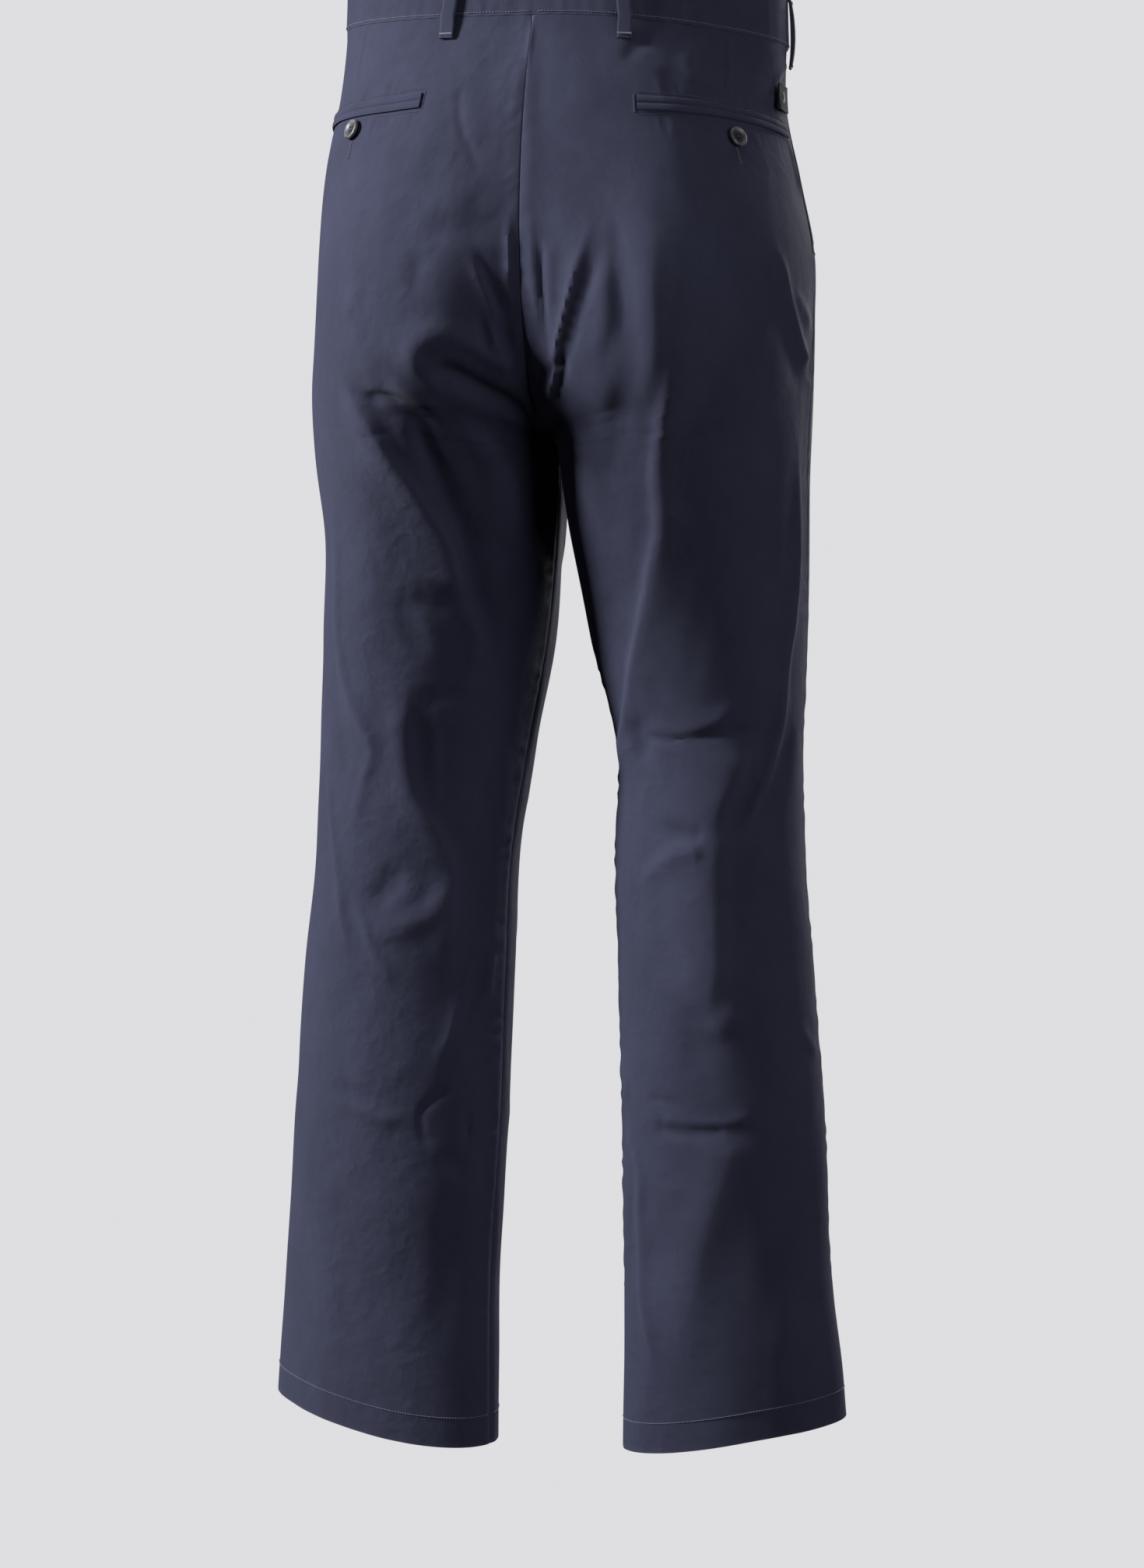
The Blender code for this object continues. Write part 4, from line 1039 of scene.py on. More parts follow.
@dataclass
class Wall:
    """A closed cloth wall between an outer and an inner lattice of points."""

    outer: np.ndarray
    inner: np.ndarray
    across: np.ndarray
    down: np.ndarray
    ring: bool = False
    # A mark on each point: edge wear, and on the panels also painted highlight on crease ridges.
    rubbed_and_ridge_highlight: np.ndarray | None = None

    def solid(self) -> Solid:
        """The wall as points and faces that look out."""
        rows, columns = self.outer.shape[:2]
        total = rows * columns
        outside = lattice_faces(rows, columns, 0, self.ring)
        inside = lattice_faces(rows, columns, total, self.ring)[:, ::-1]
        grid = np.arange(total).reshape(rows, columns)
        if self.ring:
            grid = np.concatenate([grid, grid[:, :1]], axis=1)
        edges = [grid[0][::-1], grid[-1]]
        if not self.ring:
            edges += [grid[:, 0], grid[::-1, -1]]
        rims = [np.stack([e[:-1], e[:-1] + total, e[1:] + total, e[1:]], axis=-1) for e in edges]
        faces = [outside, inside, *rims]
        middle = rows // 2, columns // 2
        along = self.outer[middle[0], middle[1]] - self.outer[middle[0], middle[1] - 1]
        down = self.outer[middle[0], middle[1]] - self.outer[middle[0] - 1, middle[1]]
        out = self.outer[middle] - self.inner[middle]
        if np.cross(along, down) @ out < 0.0:
            faces = [group[:, ::-1] for group in faces]
        made = Solid()
        made.add(np.concatenate([self.outer.reshape(-1, 3), self.inner.reshape(-1, 3)]), faces)
        return made

    def make(self, name: str, material: bpy.types.Material) -> bpy.types.Object:
        """The wall as a piece, with its place on the cloth and its mark of edge wear and painted ridge
        highlight written on it.
        """
        piece = self.solid().make(name, material)
        mesh = piece.data
        place = np.stack([self.across.ravel(), -self.down.ravel()], axis=-1)
        place = np.concatenate([place, place])
        corner = np.zeros(len(mesh.loops), np.int32)
        mesh.loops.foreach_get("vertex_index", corner)
        layer = mesh.uv_layers.new(name="cloth")
        layer.uv.foreach_set("vector", place[corner].astype(np.float32).ravel())
        rubbed_and_ridge_highlight = np.zeros(self.outer.shape[:2]) if self.rubbed_and_ridge_highlight is None else self.rubbed_and_ridge_highlight
        marks = np.concatenate([rubbed_and_ridge_highlight.ravel(), np.zeros(rubbed_and_ridge_highlight.size)])
        mesh.attributes.new("rubbed_and_ridge_highlight", "FLOAT", "POINT").data.foreach_set("value", marks.astype(np.float32))
        return piece


@dataclass
class Fitter:
    """Hangs finished pieces on the frame and reports them."""

    body: str = "root"
    sheets: list[dict] = field(default_factory=list)
    carried: dict[str, list] = field(default_factory=dict)

    def fit(self, piece: bpy.types.Object, slot: str, *nodes: str) -> bpy.types.Object:
        """Makes a piece ride on the body, in place of the nodes given.

        Args:
            piece: The finished piece.
            slot: The record's slot that its finish comes from. It is not used.
            nodes: The nodes that it stands for.

        Returns:
            The same piece.
        """
        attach(piece, self.body)
        if nodes:
            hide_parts(*nodes)
        LOG.info("%s: %d faces", piece.name, len(piece.data.polygons))
        return piece

    def sheet(self, piece: bpy.types.Object, wall: Wall, held: Held, rests_on: Sequence[str]) -> None:
        """Lists a cloth piece with the size that it was cut to, and logs it.

        Args:
            piece: The finished piece.
            wall: The wall that it was made from.
            held: How it is held.
            rests_on: What it hangs from or lies on.
        """
        steps_across = np.linalg.norm(np.diff(wall.outer, axis=1), axis=-1)
        steps_down = np.linalg.norm(np.diff(wall.outer, axis=0), axis=-1)
        width = float(steps_across.sum(axis=1).max())
        length = float(steps_down.sum(axis=0).max())
        mean = (steps_down[:, 1:] + steps_down[:, :-1]) / 2.0
        level = (steps_across[1:] + steps_across[:-1]) / 2.0
        area = float((mean[:, : level.shape[1]] * level[:, : mean.shape[1]]).sum())
        flat = (round(width, 4), round(length, 4))
        area = min(max(area, 0.31 * flat[0] * flat[1]), 0.999 * flat[0] * flat[1])
        facts = {"flat": flat, "held": held.value, "rests_on": list(rests_on), "area": area}
        self.sheets.append({"piece": piece, **facts})
        LOG.info("%s: cut %.3f by %.3f m, %.4f m2", piece.name, *flat, area)

    def declare(self) -> None:
        """Goes through the listed sheets and takes each one's piece out of its facts."""
        for facts in self.sheets:
            piece = facts.pop("piece")


@dataclass
class Stitching:
    """Rows of stitches that are sewn into one mesh: each one a short thread sunk at its ends."""

    pitch: float = 0.0021
    share: float = 0.72
    radius: float = 0.00026
    solid: Solid = field(default_factory=Solid)

    RING = 5
    SPINE = ((0.0, 0.45, -0.20), (0.18, 0.95, 0.25), (0.82, 0.95, 0.25), (1.0, 0.45, -0.20))

    def threads(self, starts: np.ndarray, ends: np.ndarray, out: np.ndarray, radius: float = 0.0) -> None:
        """Adds threads between pairs of points.

        Args:
            starts: Where each thread begins.
            ends: Where it ends.
            out: The cloth's outward normals there.
            radius: The threads' radius, or 0 for the stitching's own.
        """
        radius = radius or self.radius
        way = ends - starts
        unit = way / np.linalg.norm(way, axis=-1, keepdims=True)
        aside = np.cross(out, unit)
        aside /= np.linalg.norm(aside, axis=-1, keepdims=True)
        up = np.cross(unit, aside)
        angles = np.arange(self.RING) * 2.0 * math.pi / self.RING
        rings = []
        for share, size, lift in self.SPINE:
            centre = starts + way * share + up * radius * lift
            turned = aside[:, None] * np.cos(angles)[None, :, None]
            turned = turned + up[:, None] * np.sin(angles)[None, :, None]
            rings.append(centre[:, None] + turned * radius * size)
        points = np.stack(rings, axis=1)
        each = len(self.SPINE) * self.RING
        quads = lattice_faces(len(self.SPINE), self.RING, 0, True)
        first = np.arange(self.RING)[None, :]
        last = first[:, ::-1] + each - self.RING
        shift = (np.arange(len(starts)) * each)[:, None, None]
        faces = [(group[None] + shift).reshape(-1, group.shape[1]) for group in (quads, first, last)]
        self.solid.add(points.reshape(-1, 3), [group[:, ::-1] for group in faces])

    def row(self, form: HalfForm, path: Path, out: float = 0.0) -> None:
        """Adds a row along a path on one half.

        Args:
            form: The half that it lies on.
            path: Its (across, drop) points.
            out: How far the cloth there stands out from the form.
        """
        line = rounded(np.array(path), 24)
        surface = form.skin(line[:, 0], line[:, 1], out)
        run = lengths(surface)
        count = max(int(run[-1] / self.pitch), 1)
        begin = np.arange(count) * self.pitch
        places = [np.stack([np.interp(at, run, line[:, axis]) for axis in (0, 1)], axis=-1)
                  for at in (begin, begin + self.pitch * self.share)]
        ends = [form.skin(place[:, 0], place[:, 1], out + self.radius * 0.5) for place in places]
        normals = form.base(places[0][:, 0], places[0][:, 1])[1]
        self.threads(ends[0], ends[1], normals)

    def bar(self, form: HalfForm, place: tuple[float, float], angle: float, size: tuple[float, float],
            out: float = 0.0) -> None:
        """Adds a bar tack: close threads side by side.

        Args:
            form: The half that it lies on.
            place: The bar's middle as (across, drop).
            angle: Its turn from level, in degrees.
            size: Its length and its width.
            out: How far the cloth there stands out from the form.
        """
        point, sideways, down, normal = form.frame(*place)
        turn = math.radians(angle)
        along = sideways * math.cos(turn) + down * math.sin(turn)
        over = down * math.cos(turn) - sideways * math.sin(turn)
        count = max(int(size[0] / (self.radius * 1.7)), 2)
        steps = (np.arange(count) / (count - 1) - 0.5) * size[0]
        centres = point + normal * (out + self.radius * 0.6) + along * steps[:, None]
        half = over * size[1] / 2.0
        tilt = along * self.radius
        self.threads(centres - half - tilt, centres + half + tilt, np.tile(normal, (count, 1)))

    def make(self, name: str, material: bpy.types.Material) -> bpy.types.Object:
        """The stitching as one piece."""
        return self.solid.make(name, material)


@dataclass
class Workshop:
    """What every sub-assembly is made with: the two halves, the finishes and the fitter."""

    forms: dict[Side, HalfForm]
    wardrobe: Wardrobe
    fitter: Fitter

    def cloth(self, wall: Wall, node: str, held: Held, rests_on: str) -> None:
        """Makes a twill wall, fits it in place of its node and lists it as a sheet.

        Args:
            wall: The cloth.
            node: The node that it stands for.
            held: How it is held.
            rests_on: What it hangs from or lies on.
        """
        piece = self.fitter.fit(wall.make(f"{node}_cloth", self.wardrobe.twill), "navy_twill", node)
        self.fitter.sheet(piece, wall, held, [rests_on])

    def sew(self, stitching: Stitching, name: str, thread: bpy.types.Material, on: str) -> None:
        """Makes and fits a joined mesh of stitches, carried by the sheet named."""
        piece = self.fitter.fit(stitching.make(name, thread), "navy_twill")
        self.fitter.carried.setdefault(on, []).append(piece)


# ---------------------------------------------------------------------------------------------
# Sub-assemblies
# ---------------------------------------------------------------------------------------------


def spread(start: np.ndarray, end: np.ndarray, shares: np.ndarray) -> np.ndarray:
    """Values between two edges, one row for each level and one column for each share."""
    return start[:, None] + (end - start)[:, None] * shares[None, :]


def edged_shares(width: float, count: int) -> np.ndarray:
    """Shares across a panel, close together by its two edges where the seams turn in."""
    near = np.array([0.0, 0.5, 1.1, 1.9, 3.0, 4.5, 6.5]) * MM / width
    middle = np.linspace(near[-1], 1.0 - near[-1], count)[1:-1]
    return np.concatenate([near, middle, 1.0 - near[::-1]])


def mouth_edge(drop: np.ndarray) -> np.ndarray:
    """Where the slanted pocket mouth lies, and below it the outseam."""
    return CUT.mouth_across * np.clip(1.0 - drop / CUT.mouth_drop, 0.0, 1.0)


@dataclass
class LegAndSeat:
    """One half's panels, with its pocket facing, turned-up hem, and the stitching of its hem and pocket
    mouth.
    """

    shop: Workshop
    side: Side
    back_columns: int = 96
    front_columns: int = 70
    torso_step: float = 0.0020
    leg_step: float = 0.0031
    facing_gap: float = 0.0020

    @property
    def form(self) -> HalfForm:
        """The half that it lies on."""
        return self.shop.forms[self.side]

    def build(self) -> None:
        """Makes every piece of it."""
        self._panel("back_panel", np.zeros(1), np.ones(1), self.back_columns)
        self._panel("front_panel", -np.ones(1), None, self.front_columns)
        self._facing()
        self._hem()
        self._stitch()

    def _levels(self) -> np.ndarray:
        """The drops of a panel's rows."""
        torso = np.arange(CUT.seam_gap, 0.30, self.torso_step)
        leg = np.arange(torso[-1] + self.leg_step, CUT.hem_drop - 0.0035, self.leg_step)
        end = CUT.hem_drop - np.array([0.0026, 0.0014, 0.0006, 0.0])
        return np.concatenate([torso, leg, end])

    def _panel(self, kind: str, start: np.ndarray, end: np.ndarray | None, count: int) -> None:
        """Makes one panel between two edges.

        Args:
            kind: The panel's name.
            start: Its first edge's across.
            end: Its second edge's across, or None for the pocket mouth's edge.
            count: How many columns it has.
        """
        drops = self._levels()
        gap = CUT.seam_gap / CUT.half_girth
        first = np.broadcast_to(start, drops.shape) + gap
        last = (mouth_edge(drops) if end is None else np.broadcast_to(end, drops.shape)) - gap
        across = spread(first, last, edged_shares(CUT.half_girth, count))
        levels = np.repeat(drops[:, None], across.shape[1], axis=1)
        relief = self.form.relief(across, levels)
        point, normal = self.form.base(across, levels)
        outer = point + normal * relief[..., None]
        inner = outer - normal * CUT.cloth
        girth = self.form.girth(levels)
        edge = np.minimum(across - first[:, None], last[:, None] - across) * girth
        hem = CUT.hem_drop - levels
        rubbed_and_ridge_highlight = 0.55 * np.exp(-edge / 0.0016) + 0.8 * np.exp(-hem / 0.0015)
        # Painted highlight: crease ridges that stand out more than 1 mm are lightened towards the twill's
        # pale colour, on top of the real wear by the seams and the hem.
        rubbed_and_ridge_highlight += 0.30 * smooth((relief - 0.0010) / 0.0030)
        wall = Wall(outer, inner, across * girth, levels, rubbed_and_ridge_highlight=np.clip(rubbed_and_ridge_highlight, 0.0, 1.0))
        self.shop.cloth(wall, f"{kind}_{self.side.word}", Held.HUNG, "waistband")

    def _facing(self) -> None:
        """Makes the cloth behind the slanted pocket mouth."""
        gap = CUT.seam_gap / CUT.half_girth
        drops = np.linspace(CUT.seam_gap, CUT.facing_drop, 64)
        edge = mouth_edge(drops)
        across = spread(edge - CUT.facing_under, np.full(drops.shape, -gap), np.linspace(0.0, 1.0, 28))
        levels = np.repeat(drops[:, None], across.shape[1], axis=1)
        mouth = np.maximum(np.abs(edge), 1e-6)[:, None]
        depth = -(CUT.cloth + self.facing_gap) * np.clip(np.abs(across) / (0.6 * mouth), 0.0, 1.0)
        outer = self.form.skin(across, levels, 0.0) + self.form.base(across, levels)[1] * depth[..., None]
        inner = outer - self.form.base(across, levels)[1] * CUT.cloth
        wall = Wall(outer, inner, across * CUT.half_girth, levels)
        name = f"side_facing_{self.side.word}"
        piece = wall.make(name + "_cloth", self.shop.wardrobe.facing)
        self.shop.fitter.fit(piece, "pocket_facing", name)
        self.shop.fitter.sheet(piece, wall, Held.HUNG, [f"front_panel_{self.side.word}_cloth"])

    def _hem(self) -> None:
        """Makes the hem's turned-up ring inside the leg's end."""
        front = np.linspace(-1.0, 0.0, 90)
        across = np.concatenate([front, -front[::-1][1:-1]])
        drops = np.linspace(CUT.hem_drop - CUT.hem_turn_up, CUT.hem_drop, 10)
        grid = np.repeat(across[None, :], len(drops), axis=0)
        levels = np.repeat(drops[:, None], len(across), axis=1)
        near = -(CUT.cloth + CUT.laid_under)
        outer = self.form.skin(grid, levels, near)
        inner = self.form.skin(grid, levels, near - CUT.cloth)
        wall = Wall(outer, inner, grid * CUT.hem_girth, levels, ring=True)
        self.shop.cloth(wall, f"hem_{self.side.word}", Held.HUNG, f"back_panel_{self.side.word}_cloth")

    def _stitch(self) -> None:
        """Sews the hem and the pocket mouth."""
        sewn = Stitching(pitch=0.0023)
        level = CUT.hem_drop - CUT.hem_turn_up - 0.0005
        hem = Stitching(pitch=0.0021, radius=0.00034)
        for sign in (-1.0, 1.0):
            path = tuple((sign * share, level) for share in np.linspace(0.01, 0.99, 9))
            hem.row(self.form, path, 0.0)
        on = f"back_panel_{self.side.word}_cloth"
        self.shop.sew(hem, f"hem_stitches_{self.side.word}", self.shop.wardrobe.pale_thread, on)
        for inset in (0.0055, 0.0115):
            path = tuple(
                (float(mouth_edge(drop)) - inset / CUT.half_girth, float(drop))
                for drop in np.linspace(0.003, CUT.mouth_drop - 0.012, 7)
            )
            sewn.row(self.form, path, 0.0)
        for share in (0.06, 0.97):
            drop = CUT.mouth_drop * share
            sewn.bar(self.form, (float(mouth_edge(np.array(drop))) - 0.02, drop), 8.0, (0.0075, 0.0017))
        on = f"front_panel_{self.side.word}_cloth"
        self.shop.sew(sewn, f"pocket_stitches_{self.side.word}", self.shop.wardrobe.dark_thread, on)


@dataclass
class Waistband:
    """The band: one strip round the waist, whose left end laps over its right end."""

    shop: Workshop
    columns: int = 300
    rows: int = 15
    ramp: float = 0.12

    def build(self) -> None:
        """Makes the band and its stitching."""
        right = np.linspace(-1.0, 1.0, self.columns)
        left = right[::-1][1:]
        lap = np.linspace(-1.0, -1.0 + CUT.band_overlap, 24)[1:]
        sides = [Side.RIGHT] * len(right) + [Side.LEFT] * len(left) + [Side.RIGHT] * len(lap)
        across = np.concatenate([right, left, lap])
        lift = np.zeros(len(across))
        raised = smooth((-left - 1.0 + self.ramp) / 0.025) * self.lifted
        lift[len(right) : len(right) + len(left)] = raised
        lift[-len(lap) :] = self.lifted
        self._wall(sides, across, lift)
        self._stitch()

    @property
    def lifted(self) -> float:
        """How far the lapped end stands out from the rest."""
        return CUT.band_wall + CUT.laid_under

    def _wall(self, sides: list[Side], across: np.ndarray, lift: np.ndarray) -> None:
        """Makes the band's wall from its stations round the waist."""
        drops = np.linspace(-CUT.band_height, -CUT.seam_gap, self.rows)
        edge = np.minimum(drops + CUT.band_height, -drops)
        roll = -0.0007 * np.exp(-edge / 0.0014)
        outer = np.zeros((len(drops), len(across), 3))
        inner = np.zeros_like(outer)
        place = np.zeros(outer.shape[:2])
        run = 0.0
        for column, (side, at) in enumerate(zip(sides, across)):
            point, normal = self.shop.forms[side].base(np.full(drops.shape, at), drops)
            if column:
                run += float(np.linalg.norm(point[-1] - last))
            last = point[-1]
            pucker = 0.00022 * math.sin(run * 520.0 + 1.6 * math.sin(run * 91.0)) * np.exp(drops / 0.014)
            out = CUT.band_proud + lift[column] + roll + pucker
            outer[:, column] = point + normal * out[:, None]
            inner[:, column] = point + normal * (CUT.band_proud + lift[column] - CUT.band_wall)
            place[:, column] = run
        levels = np.repeat(drops[:, None], len(across), axis=1)
        rubbed_and_ridge_highlight = np.repeat((0.55 * np.exp(-edge / 0.0015))[:, None], len(across), axis=1)
        wall = Wall(outer, inner, place, levels, rubbed_and_ridge_highlight=rubbed_and_ridge_highlight)
        self.shop.cloth(wall, "waistband", Held.STRETCHED, "mount_waist")

    def _stitch(self) -> None:
        """Sews the band's row above the waist seam and its row below its top."""
        sewn = Stitching(pitch=0.0024, radius=0.00030)
        for drop in (-0.0022, -0.0350):
            for side in Side:
                start = -1.0 + (self.ramp if side is Side.LEFT else CUT.band_overlap) + 0.01
                path = tuple((at, drop) for at in np.linspace(start, 0.995, 9))
                sewn.row(self.shop.forms[side], path, CUT.band_proud)
                if side is Side.LEFT:
                    path = ((-0.99, drop), (-1.0 + self.ramp - 0.03, drop))
                    sewn.row(self.shop.forms[side], path, CUT.band_proud + self.lifted)
        self.shop.sew(sewn, "waistband_stitches", self.shop.wardrobe.pale_thread, "waistband_cloth")


@dataclass
class BeltLoop:
    """A belt loop: sewn down above and below, and bowed out between for the belt."""

    shop: Workshop
    side: Side
    place: str
    across: float
    width: float = 0.010
    above: float = 0.036
    below: float = 0.015
    bow: float = 0.0030
    gap: float = 0.0009

    def build(self) -> None:
        """Makes the loop with its bar tacks."""
        form = self.shop.forms[self.side]
        girth = float(form.girth(np.array(0.0)))
        drops = np.linspace(-self.above, self.below, 30)
        shares = (drops + self.above) / (self.above + self.below)
        offsets = np.array([-1.0, -0.93, -0.7, -0.35, 0.0, 0.35, 0.7, 0.93, 1.0]) * self.width / 2.0 / girth
        grid = np.repeat(self.across + offsets[None, :], len(drops), axis=0)
        levels = np.repeat(drops[:, None], len(offsets), axis=1)
        near = CUT.band_proud + self.gap + self.bow * np.sin(math.pi * shares) ** 0.7
        edge = np.array([0.00035, 0.0001, 0.0, 0.0, 0.0, 0.0, 0.0, 0.0001, 0.00035])
        depth = near[:, None] - edge[None, :]
        point, normal = form.base(grid, levels)
        outer = point + normal * (depth + CUT.cloth)[..., None]
        under = CUT.band_proud + 0.0005 + 0.45 * (near - CUT.band_proud - self.gap)
        inner = point + normal * under[:, None, None]
        rubbed_and_ridge_highlight = np.repeat((edge > 0.00005)[None, :] * 0.6, len(drops), axis=0)
        wall = Wall(outer, inner, grid * girth, levels, rubbed_and_ridge_highlight=rubbed_and_ridge_highlight)
        name = f"loop_{self.place}_{self.side.word}"
        self.shop.cloth(wall, name, Held.STRETCHED, "waistband_cloth")
        sewn = Stitching(radius=0.00026)
        for drop, out in ((-self.above + 0.003, near[2]), (self.below - 0.0025, near[-3])):
            sewn.bar(form, (self.across, drop), 0.0, (self.width * 0.95, 0.0016), float(out) + CUT.cloth)
        self.shop.sew(sewn, f"{name}_tacks", self.shop.wardrobe.pale_thread, f"{name}_cloth")


@dataclass
class BackPocket:
    """A jetted back pocket: its welt and the rows sewn round it."""

    shop: Workshop
    side: Side
    inner: tuple[float, float]
    middle: float
    outer: tuple[float, float]
    height: float = 0.0095
    gap: float = 0.0009

    def curve(self, shares: np.ndarray, below: float = 0.0) -> np.ndarray:
        """Points along the welt's upper edge, or a distance below it."""
        shares = np.asarray(shares, float)
        across = self.inner[0] + (self.outer[0] - self.inner[0]) * shares
        drop = self.inner[1] + (self.outer[1] - self.inner[1]) * shares
        sag = self.middle - (self.inner[1] + self.outer[1]) / 2.0
        return np.stack([across, drop + sag * 4.0 * shares * (1.0 - shares) + below], axis=-1)

    def build(self) -> None:
        """Makes the welt with its stitches."""
        form = self.shop.forms[self.side]
        along = np.linspace(0.0, 1.0, 90)
        rows = np.array([0.0, 0.04, 0.12, 0.30, 0.47, 0.50, 0.53, 0.70, 0.88, 0.96, 1.0]) * self.height
        round_off = np.array([-0.55, -0.2, 0.0, 0.1, -0.2, -0.7, -0.2, 0.1, 0.0, -0.2, -0.55]) * MM
        lines = [self.curve(along, row) for row in rows]
        grid = np.array([line[:, 0] for line in lines])
        levels = np.array([line[:, 1] for line in lines])
        base = self.gap + CUT.cloth
        outer = form.skin(grid, levels, 0.0) + form.base(grid, levels)[1] * (base + round_off)[:, None, None]
        inner = form.skin(grid, levels, self.gap)
        rubbed_and_ridge_highlight = np.repeat((np.abs(round_off) > 0.0003)[:, None] * 0.5, len(along), axis=1)
        wall = Wall(outer, inner, grid * CUT.half_girth, levels, rubbed_and_ridge_highlight=rubbed_and_ridge_highlight)
        name = f"back_welt_{self.side.word}"
        self.shop.cloth(wall, name, Held.STRETCHED, f"back_panel_{self.side.word}_cloth")
        sewn = Stitching()
        for below in (-0.0028, self.height + 0.0022):
            sewn.row(form, tuple(map(tuple, self.curve(np.linspace(0.0, 1.0, 7), below))))
        for share in (-0.012, 1.012):
            centre = self.curve(np.array([share]), self.height / 2.0)[0]
            sewn.bar(form, tuple(centre), 90.0, (self.height + 0.004, 0.0018))
        self.shop.sew(sewn, f"{name}_stitches", self.shop.wardrobe.dark_thread, f"{name}_cloth")


@dataclass
class Button:
    """A four-hole button with its sewing thread."""

    shop: Workshop
    name: str
    side: Side
    place: tuple[float, float]
    radius: float = 0.0076
    lift: float = 0.0012
    thick: float = 0.0030
    hole: float = 0.0009
    spread: float = 0.0016
    hole_below: float = 0.013
    segments: int = 48

    SHARP_DEGREES = 40.0

    def _profile(self) -> tuple[tuple[float, float], ...]:
        """Its half section as (radius, height): flat back, round rim and dished face."""
        shape = (
            (0.0, 0.0), (0.78, 0.0), (0.93, 0.16), (1.0, 0.45), (0.985, 0.75), (0.93, 0.93),
            (0.85, 1.0), (0.77, 0.95), (0.70, 0.80), (0.62, 0.72), (0.30, 0.67), (0.0, 0.66),
        )
        return tuple((radius * self.radius, height * self.thick) for radius, height in shape)

    def build(self) -> None:
        """Makes the button, its thread and, if it has one, its buttonhole."""
        rings = []
        form = bmesh.new()
        for distance, height in self._profile():
            turns = np.arange(self.segments if distance else 1) * 2.0 * math.pi / self.segments
            ring = [(distance * math.cos(a), distance * math.sin(a), height) for a in turns]
            rings.append([form.verts.new(point) for point in ring])
        for lower, upper in zip(rings[:-1], rings[1:]):
            for step in range(self.segments):
                after = (step + 1) % self.segments
                corners = [lower[step % len(lower)], lower[after % len(lower)]]
                corners += [upper[after % len(upper)], upper[step % len(upper)]]
                form.faces.new(list(dict.fromkeys(corners)))
        bmesh.ops.recalc_face_normals(form, faces=form.faces)
        mesh = bpy.data.meshes.new(self.name)
        form.to_mesh(mesh)
        form.free()
        piece = bpy.data.objects.new(f"{self.name}_horn", mesh)
        bpy.context.scene.collection.objects.link(piece)
        self._pierce(piece)
        piece.data.shade_smooth()
        piece.data.set_sharp_from_angle(angle=math.radians(self.SHARP_DEGREES))
        piece.data.materials.clear()
        piece.data.materials.append(self.shop.wardrobe.horn)
        surface = self.shop.forms[self.side]
        point, sideways, down, out = surface.frame(*self.place)
        spot = Vector(point + out * self.lift)
        turned = Matrix((sideways, -down, out)).transposed().to_4x4()
        piece.matrix_world = Matrix.Translation(spot) @ turned
        self.shop.fitter.fit(piece, "horn_button", self.name)
        sewn = Stitching()
        top = self.lift + self.thick * 0.70
        reach = self.spread * 0.72
        arms = [(sideways * x + down * y) * reach for x, y in ((1, 1), (1, -1), (-1, -1), (-1, 1))]
        corners = np.array([point + out * top + arm for arm in arms])
        up = np.tile(out, (2, 1))
        for shift in (-0.00022, 0.0, 0.00022):
            sewn.threads(corners[[0, 3]] + sideways * shift, corners[[1, 2]] + sideways * shift, up, 0.00028)
        if self.hole_below:
            place = (self.place[0] + 0.004, self.place[1] + self.hole_below)
            sewn.bar(surface, place, 84.0, (0.013, 0.0030))
        on = f"back_panel_{self.side.word}_cloth" if self.hole_below else "waistband_cloth"
        self.shop.sew(sewn, f"{self.name}_thread", self.shop.wardrobe.dark_thread, on)

    def _pierce(self, piece: bpy.types.Object) -> None:
        """Cuts the four thread holes through the button."""
        for number in range(4):
            angle = math.pi / 4.0 + number * math.pi / 2.0
            form = bmesh.new()
            bmesh.ops.create_cone(form, cap_ends=True, segments=20, radius1=self.hole, radius2=self.hole,
                                  depth=4.0 * self.thick)
            shift = (self.spread * math.cos(angle), self.spread * math.sin(angle), 0.0)
            bmesh.ops.translate(form, verts=form.verts, vec=shift)
            mesh = bpy.data.meshes.new("hole")
            form.to_mesh(mesh)
            form.free()
            cutter = bpy.data.objects.new("hole", mesh)
            bpy.context.scene.collection.objects.link(cutter)
            cut = piece.modifiers.new("hole", "BOOLEAN")
            cut.operation = "DIFFERENCE"
            cut.object = cutter
            graph = bpy.context.evaluated_depsgraph_get()
            made = bpy.data.meshes.new_from_object(piece.evaluated_get(graph))
            piece.modifiers.clear()
            piece.data = made
            bpy.data.objects.remove(cutter, do_unlink=True)


